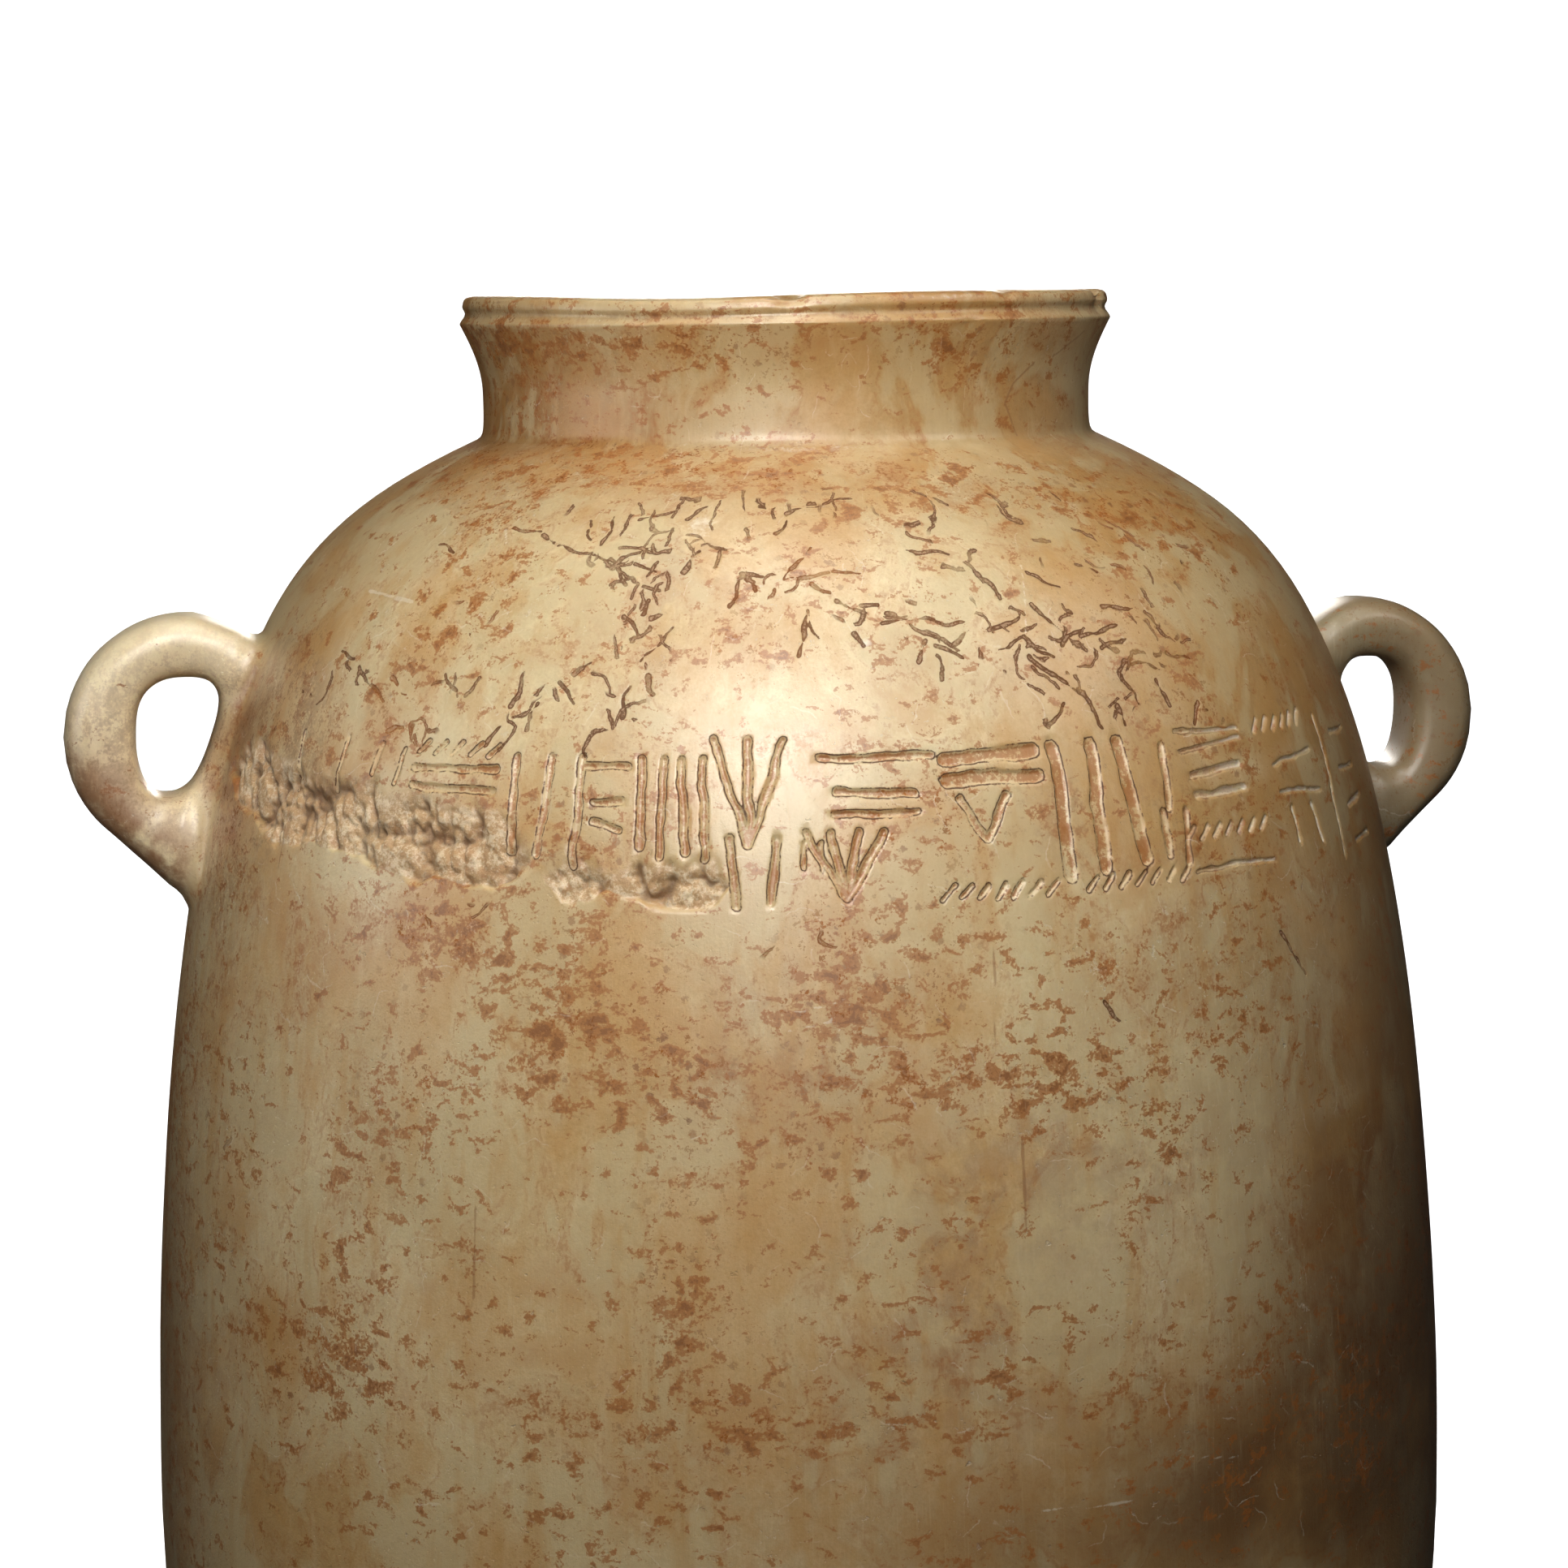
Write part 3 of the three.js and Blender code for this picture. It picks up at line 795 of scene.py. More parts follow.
def mesh_object(name, points, faces):
    mesh = bpy.data.meshes.new(name)
    mesh.from_pydata((np.asarray(points) * MM).tolist(), [], faces)
    mesh.validate()
    return linked(name, mesh)


def detail_wanted(strokes, marks):
    """Where the cells are split, and to which depth."""
    thin = on_sheet(CRACKS + SCRATCHES)
    wanted = [
        (samples_along(strokes, 0.3, 0.1), FINEST),
        (samples_along(marks, 0.3, 0.1), FINEST),
        (samples_along(thin, 0.4, 0.1), FINEST - 1),
    ]
    for start, end, half in SPALLS:
        wanted.append((patch_samples(start, end, half, 0.45), FINEST))
    for side, drop in ((-90, 0), (90, RIGHT_HANDLE_DROP)):
        middle = HANDLE_CENTRE_HEIGHT - drop
        root = patch_samples((side - 8, middle), (side + 8, middle), 50, 1.6)
        wanted.append((root, 3))
    for chip_angle, _, reach, _ in CHIPS:
        patch = patch_samples((chip_angle - reach, 500), (chip_angle + reach, 500), reach + 4, 0.6)
        wanted.append((patch, 2))
    return wanted


def turned_body(strokes, marks):
    leaves = leaf_cells(split_sets(detail_wanted(strokes, marks)))
    places, faces = cell_faces(leaves)
    outline, normal = outline_at(places[:, 1]), outline_normal(places[:, 1])
    angle = (places[:, 0] / ROOT_COLUMNS * 360 + 180) % 360 - 180
    height = outline[:, 1]
    outside = places[:, 1] <= RUN_STARTS[7]
    carved = (places[:, 1] > RUN_STARTS[1]) & (places[:, 1] < RUN_STARTS[4])
    turn = np.radians(angle)
    around = np.stack([np.sin(turn), -np.cos(turn)], 1)
    points = np.column_stack([around * outline[:, :1], height])
    shift = np.where(outside & (places[:, 1] > 1), unevenness(points), 0.0)
    shift[places[:, 1] > RUN_STARTS[4]] *= 0.3
    sheet = np.interp(places[:, 1], ROW_TABLE, SHEET_TABLE)
    here = np.nonzero(carved)[0]
    stroke_gap = stroke_gaps(angle[here], sheet[here], strokes)
    mark_gap = mark_gaps(angle[here], sheet[here], marks)
    shift[here] += wall_relief(angle[here], sheet[here], height[here], stroke_gap, mark_gap)
    shift += chip_relief(points, outline[:, 0], height, angle) * (height > 490)
    shift[places[:, 1] < 4] = 0
    points[:, :2] += around * (normal[:, :1] * shift[:, None])
    points[:, 2] += normal[:, 1] * shift + rim_sag(angle, height)
    points = np.vstack([points, [0, 0, 0], [0, 0, FLOOR_THICKNESS]])
    cap(places, faces, 0, True)
    cap(np.vstack([places, [[-1, -1]]]), faces, ROWS, False)
    return mesh_object("turned_body", points, faces)


def joined(body, handles):
    """One closed mesh of the body and its handles."""
    for handle in handles:
        union = body.modifiers.new("join", "BOOLEAN")
        union.operation = "UNION"
        union.solver = "MANIFOLD"
        union.object = handle
    graph = bpy.context.evaluated_depsgraph_get()
    mesh = bpy.data.meshes.new_from_object(body.evaluated_get(graph))
    return linked("calcite_jar", mesh)


def seam_places(points, near, body, handles):
    """The points where the handles' faces meet the wall's."""
    graph = bpy.context.evaluated_depsgraph_get()
    trees = [BVHTree.FromObject(thing, graph) for thing in handles]
    corners = [corner.co for corner in body.data.vertices]
    wall = BVHTree.FromPolygons(corners, [face.vertices for face in body.data.polygons])
    seam = []
    for i in near:
        place = Vector(points[i])
        off_handle = min(tree.find_nearest(place)[3] for tree in trees)
        if off_handle < SEAM_GAP and wall.find_nearest(place)[3] < SEAM_GAP:
            seam.append(place)
    return seam


def seam_weights(points, near, seam):
    """How far each point gives way when the seam is smoothed."""
    tree = KDTree(len(seam))
    for i, place in enumerate(seam):
        tree.insert(place, i)
    tree.balance()
    weight = np.zeros(len(points))
    for i in near:
        weight[i] = 1 - tree.find(Vector(points[i]))[2] / (ROOT_FILLET * MM)
    return smooth(0, 0.7, weight) * 0.6


def soften_roots(jar, body, handles):
    """Round the inner corner where the handles grow out of the wall."""
    mesh = jar.data
    points = mesh_points(mesh)
    near = np.nonzero(np.abs(points[:, 0]) > ROOT_REGION)[0]
    weight = seam_weights(points, near, seam_places(points, near, body, handles))
    edges = np.empty(len(mesh.edges) * 2, int)
    mesh.edges.foreach_get("vertices", edges)
    edges = edges.reshape(-1, 2)
    edges = edges[(weight[edges] > 0).any(axis=1)]
    one, other = np.concatenate([edges, edges[:, ::-1]]).T
    count = np.maximum(np.bincount(one, minlength=len(points)), 1)
    for _ in range(SMOOTHING_ROUNDS):
        total = np.stack([np.bincount(one, points[other, k], len(points)) for k in range(3)], 1)
        points += weight[:, None] * (total / count[:, None] - points)
    mesh.vertices.foreach_set("co", points.ravel())
    mesh.update()


# Stains, and patches of painted shade and painted highlight: (angle, height, reach round, reach up,
# strength), reaches in millimetres

BROWN_STAINS = (
    (-75, 400, 22, 22, 0.9), (-75, 382, 20, 12, 1.0), (-66, 394, 14, 16, 0.8), (-60, 383, 34, 7, 0.7),
    (-31, 376, 22, 5, 0.4),
    (-28, 398, 10, 8, 0.3), (25, 384, 9, 26, 0.45), (14, 384, 14, 12, 0.35), (-76, 360, 24, 30, 0.3),
    (41, 280, 46, 50, 0.3), (-78, 250, 40, 60, 0.3), (-60, 468.6, 42, 1.6, 0.6), (-20, 467.9, 40, 1, 0.4),
    (-70, 398, 9, 22, 0.8), (-84, 392, 12, 24, 0.6), (-50, 500.6, 60, 1.6, 0.5), (10, 500.6, 50, 1.4, 0.4),
)
OCHRE_STAINS = (
    (-58, 450, 20, 10, 0.8), (-52, 459, 26, 9, 0.6), (-36, 465, 40, 5, 0.6), (-8, 464, 60, 4, 0.6),
    (15, 458, 26, 7, 0.55), (40, 452, 30, 9, 0.5), (-64, 488, 30, 12, 0.6), (-29, 495, 40, 8, 0.6),
    (28, 486, 26, 12, 0.35), (26, 380, 16, 18, 0.45), (-10, 344, 24, 10, 0.5), (-42, 356, 26, 9, 0.55),
    (-30, 342, 20, 16, 0.5), (-23, 331, 16, 9, 0.5), (-52, 246, 26, 16, 0.8), (-49, 262, 14, 16, 0.5),
    (-60, 326, 10, 30, 0.35), (-6, 361, 10, 8, 0.5), (-21, 275, 9, 7, 0.6), (18, 251, 30, 12, 0.5),
    (-76, 335, 24, 40, 0.45), (2, 323, 70, 7, 0.55), (36, 372, 14, 18, 0.4), (-33, 386, 40, 12, 0.5),
    (0, 384, 60, 10, 0.35), (-26, 248, 80, 7, 0.35), (90, 405, 60, 60, 0.3), (-62, 222, 30, 14, 0.5),
    (12, 356, 26, 6, 0.3), (-88, 300, 30, 90, 0.4), (40, 232, 50, 22, 0.45),
)
VIOLET_STAINS = (
    (12, 302, 46, 22, 0.7), (1, 267, 30, 26, 0.6), (-10, 326, 34, 6, 0.6), (-11, 342, 22, 12, 0.5),
    (48, 284, 34, 30, 0.6), (35, 239, 44, 20, 0.5), (-7, 241, 40, 10, 0.4), (-20, 443, 14, 8, 0.4),
    (-74, 223, 30, 40, 0.4), (-26, 432, 10, 22, 0.35), (16, 418, 22, 14, 0.3),
)
GREEN_STAINS = (
    (-45, 298, 44, 30, 0.8), (-37, 320, 30, 14, 0.6), (-22, 298, 20, 26, 0.35), (19, 349, 40, 18, 0.45),
    (30, 333, 34, 22, 0.55), (-33, 416, 26, 12, 0.4), (39, 358, 30, 30, 0.6), (-50, 326, 30, 20, 0.5),
    (-36, 393, 30, 12, 0.4), (-26, 268, 26, 20, 0.3), (50, 420, 36, 40, 0.4),
)
# Pale patches: the stone's own paler areas, and across the front shoulder a painted highlight standing for
# the lamp's broad glare
CREAM_AND_HIGHLIGHT_PATCHES = (
    (-22, 450, 9, 6, 0.9), (0, 412, 40, 22, 0.5), (-13, 404, 50, 18, 0.5), (-40, 430, 26, 14, 0.4),
    (16, 428, 34, 14, 0.45), (-17, 350, 26, 20, 0.45), (-19, 290, 30, 34, 0.6), (7, 348, 20, 14, 0.4),
    (24, 274, 24, 14, 0.4), (-30, 222, 50, 18, 0.6), (13, 278, 20, 14, 0.4), (0, 442, 30, 9, 0.4),
    (-34, 307, 14, 10, 0.4), (17, 224, 50, 14, 0.5), (30, 300, 20, 40, 0.35), (-8, 385, 70, 26, 0.3),
)
# Deeper amber on the neck, the sides and the bottom: partly the stone's own colour, partly painted shade
# where the light falls away
AMBER_AND_SHADE_WASHES = (
    (-66, 488, 60, 30, 0.9), (45, 486, 44, 30, 0.6), (-35, 472, 60, 8, 0.5), (-80, 400, 40, 60, 0.6),
    (52, 300, 70, 90, 0.8), (62, 400, 50, 50, 0.5), (5, 225, 90, 24, 0.5), (-85, 250, 50, 70, 0.5),
    (-8, 462, 60, 8, 0.35), (180, 300, 160, 120, 0.3),
)
# Painted shade: dark brown patches on the lower right, the bottom and the edges of the body, where the
# light falls away
SHADE_PATCHES = (
    (72, 235, 70, 150, 1), (40, 222, 60, 34, 0.7), (16, 214, 80, 20, 0.4), (-86, 225, 34, 60, 0.5),
    (78, 350, 30, 60, 0.5), (42, 270, 34, 60, 0.45), (-78, 396, 16, 20, 0.4), (30, 215, 50, 24, 0.4),
)
FRECKLES = (
    (-68, 494, 22, 4, 1), (-48, 493, 20, 5, 1), (-34, 491, 16, 5, 0.9), (-36, 479, 9, 6, 0.8),
    (0, 496, 14, 3, 0.9),
    (-18, 497, 14, 2, 0.7), (20, 494, 16, 4, 0.5), (-30, 502, 40, 3, 0.6), (-60, 478, 12, 8, 0.4),
    (-45, 356, 22, 9, 1), (-36, 346, 10, 16, 0.9), (-31, 338, 14, 14, 1), (-24, 330, 12, 10, 0.9),
    (-10, 344, 16, 8, 0.8), (-4, 340, 12, 12, 0.8), (2, 325, 26, 8, 0.9), (12, 322, 16, 8, 0.8),
    (-28, 318, 30, 6, 0.7), (-50, 246, 16, 10, 0.8), (-50, 262, 8, 20, 0.7), (-21, 274, 7, 7, 1),
    (-2, 284, 12, 12, 0.7), (3, 262, 18, 10, 0.8), (-16, 247, 30, 6, 0.6), (20, 305, 16, 10, 0.6),
    (30, 326, 10, 8, 0.6), (-26, 222, 24, 8, 0.5), (-50, 300, 10, 14, 0.5), (-4, 362, 8, 5, 1),
    (28, 370, 8, 8, 0.7), (16, 455, 30, 4, 0.8), (-20, 460, 60, 3, 0.7), (38, 449, 20, 5, 0.8),
    (-52, 418, 30, 6, 0.4), (-40, 368, 30, 3, 0.5), (100, 330, 60, 60, 0.6), (-150, 300, 70, 60, 0.6),
)
WHITE_BLOBS = (
    (-4, 290.5, 3, 2.6, 0.8), (-2.5, 288, 3.4, 2.2, 0.7), (-7, 277, 3, 2, 0.6), (-11, 266, 3.4, 3, 0.8),
    (-12.3, 262, 2.4, 2.4, 0.7), (-9.7, 263, 2, 2.4, 0.6), (-4, 424, 2.5, 2, 0.7), (-22, 450.5, 6, 4, 0.6),
    (-34, 472, 24, 3.4, 0.4), (-14, 467.6, 26, 1, 0.4), (8, 467.4, 30, 1, 0.35), (-29, 443, 9, 3, 0.5),
    (-24, 504.5, 40, 2, 0.42), (20, 504.5, 30, 2, 0.42),
)

PATCH_TABLES = {
    "brown": BROWN_STAINS,
    "ochre": OCHRE_STAINS,
    "violet": VIOLET_STAINS,
    "green": GREEN_STAINS,
    "cream_and_highlight": CREAM_AND_HIGHLIGHT_PATCHES,
    "amber_and_shade": AMBER_AND_SHADE_WASHES,
    "freckled": FRECKLES,
    "painted_shade": SHADE_PATCHES,
    "rooted": ROOTED,
    "blob": WHITE_BLOBS,
}

# Thin lines: (from, to, width) of hair cracks, brown and upright, and of white scratches
CRACKS = (
    ((-37.9, 293), (-37.8, 272), 0.5), ((7, 310), (6.6, 286), 0.6), ((5.5, 359), (5.1, 335), 0.45),
    ((5.1, 335), (4.7, 326), 0.4), ((-65, 376), (-64.6, 361), 0.35),
    ((39, 487.4), (34, 482.6), 0.5), ((34, 482.6), (32, 477.6), 0.5), ((32, 477.6), (34.4, 469.5), 0.5),
    ((44.3, 488.7), (54.1, 495.1), 0.5),
)
SCRATCHES = (
    ((-11.7, 341), (-8, 343), 0.5), ((-11.9, 337), (-8.2, 339), 0.5), ((7.6, 222), (15.3, 221), 0.6),
    ((-64, 433.4), (-59, 432.6), 0.9), ((-58.5, 432.4), (-55.5, 431.8), 1.1),
    ((-48, 449), (-46.5, 446), 0.6),
    ((15.2, 441), (12.8, 425), 0.45), ((-8.5, 340), (-7.6, 336), 0.4), ((21, 229), (26, 226), 0.5),
)


def patches(angle, height, patch_table):
    """Soft-edged areas round their middles, added up."""
    total = np.zeros(len(angle))
    radius = wall_radius(height)
    for middle, middle_height, reach_round, reach_up, strength in patch_table:
        around = np.radians((angle - middle + 180) % 360 - 180) * radius / reach_round
        up = (height - middle_height) / reach_up
        total += strength * np.exp(-(around**2) - up**2)
    return np.clip(total, 0, 1)


def carved_values(angle, sheet, height, strokes, marks):
    """Strokes, root marks, cracks, scratches and broken stone."""
    crack_angle, crack_sheet, _ = warped(angle, sheet, 0.9, 9, 95)
    gaps = {
        "stroke": stroke_gaps(angle, sheet, strokes) / 1.5,
        "mark": mark_gaps(angle, sheet, marks) / 1.1,
        "crack": distance_field(crack_angle, crack_sheet, on_sheet(CRACKS), 3.0) / 0.9,
        "scratch": distance_field(angle, sheet, on_sheet(SCRATCHES), 3.0) / 0.9,
    }
    values = {name: np.clip(0.5 - gap, 0, 1) for name, gap in gaps.items()}
    values["spalled"] = spall_mask(angle, sheet, height)
    values["crevice"] = 0.5 - 0.5 * broken_face(flat_places(angle, sheet, height))
    return values


def handle_values(x, height, off_wall):
    """The two handles, and painted shade in rust along the left one's underside."""
    on_handle = smooth(1.0, 5, off_wall) * (height < 450)
    left = on_handle * (x < -100)
    out = np.abs(x) - HANDLE_REACH + HANDLE_LOOP_RADIUS
    under = 0.69 * out + 0.72 * (HANDLE_CENTRE_HEIGHT - height)
    right = on_handle * (x > 100)
    return {"left_handle": left, "right_handle": right, "underside_shade": left * smooth(10, 29, under)}


def drifting_values(places):
    """Clouds, drifts and wisps of colour that run through the whole stone."""
    bent = places * [1, 1, 2.6] + 9 * fractal(places, 40, 2, 121)[:, None]
    return {
        "cloud": fractal(places, 85, 4, 101),
        "drift": fractal(places * [1, 1, 0.7], 30, 4, 111),
        "wisp": fractal(bent, 42, 4, 131),
    }


def mark_places(jar, strokes, marks):
    """Write where each kind of finish lies, as values on the jar's points."""
    mesh = jar.data
    places = mesh_points(mesh) / MM
    x, y, height = places.T
    radius = np.hypot(x, y)
    angle = np.degrees(np.arctan2(x, -y))
    outer = wall_radius(height)
    neck_skin = radius > NECK_RADIUS - 3
    on_wall = (radius > outer - 6) & (radius < outer + 1.5) & (height < NECK_ROOT[1] + 1)
    outside = (radius > outer - 6) & (height < NECK_ROOT[1]) | neck_skin
    values = handle_values(x, height, radius - outer) | drifting_values(places)
    values["inside"] = 1.0 * ~outside
    values["chalk"] = smooth(22, 36, angle)
    here = np.nonzero(on_wall | neck_skin & (height > NECK_ROOT[1]))[0]
    carved = carved_values(angle[here], sheet_of(height[here]), height[here], strokes, marks)
    for name, value in carved.items():
        values[name] = np.zeros(len(x))
        values[name][here] = value
    for name, patch_table in PATCH_TABLES.items():
        values[name] = patches(angle, height, patch_table) * outside
    values["rooted"] *= 1 - values["left_handle"] - values["right_handle"]
    for name, value in values.items():
        layer = mesh.attributes.new(name, "FLOAT", "POINT")
        layer.data.foreach_set("value", value.astype(np.float32))


# Finish

class Shade:
    """A value that changes over the stone, written in plain sums."""

    def __init__(self, finish, socket):
        self.finish = finish
        self.socket = socket

    def sum_of(self, operation, first, second):
        return self.finish.node("ShaderNodeMath", {"operation": operation}, {0: first, 1: second})

    def other(self, output):
        """Another output of the same node."""
        return Shade(self.finish, self.socket.node.outputs[output])

    def __abs__(self):
        return self.finish.node("ShaderNodeMath", {"operation": "ABSOLUTE"}, {0: self})

    def __add__(self, other):
        return self.sum_of("ADD", self, other)

    def __radd__(self, other):
        return self.sum_of("ADD", other, self)

    def __sub__(self, other):
        return self.sum_of("SUBTRACT", self, other)

    def __rsub__(self, other):
        return self.sum_of("SUBTRACT", other, self)

    def __mul__(self, other):
        return self.sum_of("MULTIPLY", self, other)

    def __rmul__(self, other):
        return self.sum_of("MULTIPLY", other, self)


class Finish:
    """A material whose nodes are made by calls."""

    def __init__(self, name):
        self.material = bpy.data.materials.new(name)
        self.material.use_nodes = True
        self.tree = self.material.node_tree
        self.surface = self.tree.nodes["Principled BSDF"]

    def node(self, kind, settings, inputs, output=0):
        made = self.tree.nodes.new(kind)
        for name, value in settings.items():
            setattr(made, name, value)
        for name, value in inputs.items():
            self.feed(made.inputs[name], value)
        return Shade(self, made.outputs[output])

    def feed(self, socket, value):
        if isinstance(value, Shade):
            self.tree.links.new(value.socket, socket)
        else:
            socket.default_value = value

    def set(self, **values):
        for name, value in values.items():
            self.feed(self.surface.inputs[name.replace("_", " ")], value)

    def place(self, stretch=(1, 1, 1)):
        """The place on the stone in millimetres, with each axis stretched or squeezed."""
        at = self.node("ShaderNodeTexCoord", {}, {}, "Object")
        factors = tuple(value / MM for value in stretch)
        return self.node("ShaderNodeVectorMath", {"operation": "MULTIPLY"}, {0: at, 1: factors})

    def noise(self, size, detail=3.0, roughness=0.5, stretch=(1, 1, 1), twist=0.0):
        inputs = {
            "Vector": self.place(stretch),
            "Scale": 1 / size,
            "Detail": detail,
            "Roughness": roughness,
            "Distortion": twist,
        }
        return self.node("ShaderNodeTexNoise", {}, inputs)

    def spots(self, size):
        """Distance to the nearest of scattered points, in shares of their spacing."""
        inputs = {"Vector": self.place(), "Scale": 1 / size}
        return self.node("ShaderNodeTexVoronoi", {}, inputs)

    def part(self, vector, axis):
        return self.node("ShaderNodeSeparateXYZ", {}, {0: vector}, axis)

    def larger(self, first, second):
        return self.node("ShaderNodeMath", {"operation": "MAXIMUM"}, {0: first, 1: second})

    def unrolled(self, wobble):
        """The wall laid out flat in millimetres, with a wobble so that nothing on it is straight."""
        at = self.place()
        round_it = {0: self.part(at, "X"), 1: 0 - self.part(at, "Y")}
        turn = self.node("ShaderNodeMath", {"operation": "ARCTAN2"}, round_it)
        flat = self.node("ShaderNodeCombineXYZ", {}, {0: 155 * turn, 1: 1.1 * self.part(at, "Z")})
        noise = self.node("ShaderNodeTexNoise", {}, {"Vector": at, "Scale": 1 / 6.0, "Detail": 2.0}, 1)
        push = {0: noise, 1: (wobble, wobble, 0)}
        pushed = self.node("ShaderNodeVectorMath", {"operation": "MULTIPLY"}, push)
        return self.node("ShaderNodeVectorMath", {"operation": "ADD"}, {0: flat, 1: pushed})

    def scattered(self, flat, spacing, length):
        """Distance to short bent lines strewn over the flat wall, and a random number for each."""
        cell = {"Vector": flat, "Scale": 1 / spacing}
        middle = self.node("ShaderNodeTexVoronoi", {"voronoi_dimensions": "2D"}, cell, "Position")
        chance = middle.other("Color")
        near = self.node("ShaderNodeVectorMath", {"operation": "SUBTRACT"}, {0: flat, 1: middle})
        turned = {"Vector": near, "Angle": 6.28 * self.part(chance, "X")}
        near = self.node("ShaderNodeVectorRotate", {"rotation_type": "Z_AXIS"}, turned)
        along, off = self.part(near, "X"), self.part(near, "Y")
        bent = off + (self.part(chance, "Y") - 0.5) * along * along * 0.35
        past = self.larger(abs(along) - 0.5 * length * (0.5 + self.part(chance, "Y")), 0.0)
        gap = self.node("ShaderNodeMath", {"operation": "SQRT"}, {0: past * past + bent * bent})
        return gap, self.part(chance, "Z")

    def layer(self, name):
        return self.node("ShaderNodeAttribute", {"attribute_name": name}, {}, "Fac")

    def step(self, value, low, high):
        """Rise smoothly from 0 to 1 between two values."""
        inputs = {"Value": value, "From Min": low, "From Max": high}
        return self.node("ShaderNodeMapRange", {"interpolation_type": "SMOOTHSTEP"}, inputs)

    def ridge(self, value, middle, reach):
        """1 along the line where a value passes a level, falling to 0 on both sides."""
        return self.step(value, middle - reach, middle) * (1 - self.step(value, middle, middle + reach))

    def blend(self, share, first, second, how="MIX"):
        settings = {"data_type": "RGBA", "blend_type": how}
        return self.node("ShaderNodeMix", settings, {0: share, 6: first, 7: second}, 2)


def colour(red, green, blue):
    """A colour as seen on a screen, from 0 to 255, in the shader's own terms."""
    return tuple(((value / 255 + 0.055) / 1.055) ** 2.4 for value in (red, green, blue)) + (1.0,)


HONEY = colour(206, 174, 120)
CREAM = colour(230, 214, 174)
AMBER = colour(192, 146, 80)
OCHRE = colour(170, 106, 42)
RUST = colour(142, 86, 38)
RUST_DARK = colour(140, 90, 46)
OCHRE_PALE = colour(196, 144, 76)
UMBER = colour(88, 56, 36)
PLUM = colour(82, 46, 20)
VIOLET_GREY = colour(160, 122, 98)
GREEN_GREY = colour(206, 188, 146)
CHALK = colour(238, 230, 212)
CRUMB = colour(184, 150, 112)
CRUMB_TOP = colour(224, 206, 176)
UMBER_SOFT = colour(108, 72, 44)
DEEP_AMBER_AND_SHADE = colour(168, 122, 58)
GREY_CORE = colour(192, 160, 130)
# Dark brown of the painted shade on the lower right and the edges
SHADE_BROWN = colour(104, 68, 30)
# Handle colours: partly painted light on the left handle, partly painted shade on the right one
LIT_HANDLE_CREAM = colour(250, 234, 198)
SHADED_HANDLE_GREY = colour(150, 142, 118)
GRAIN_SHADE = colour(222, 204, 176)
WHITE = colour(255, 255, 255)


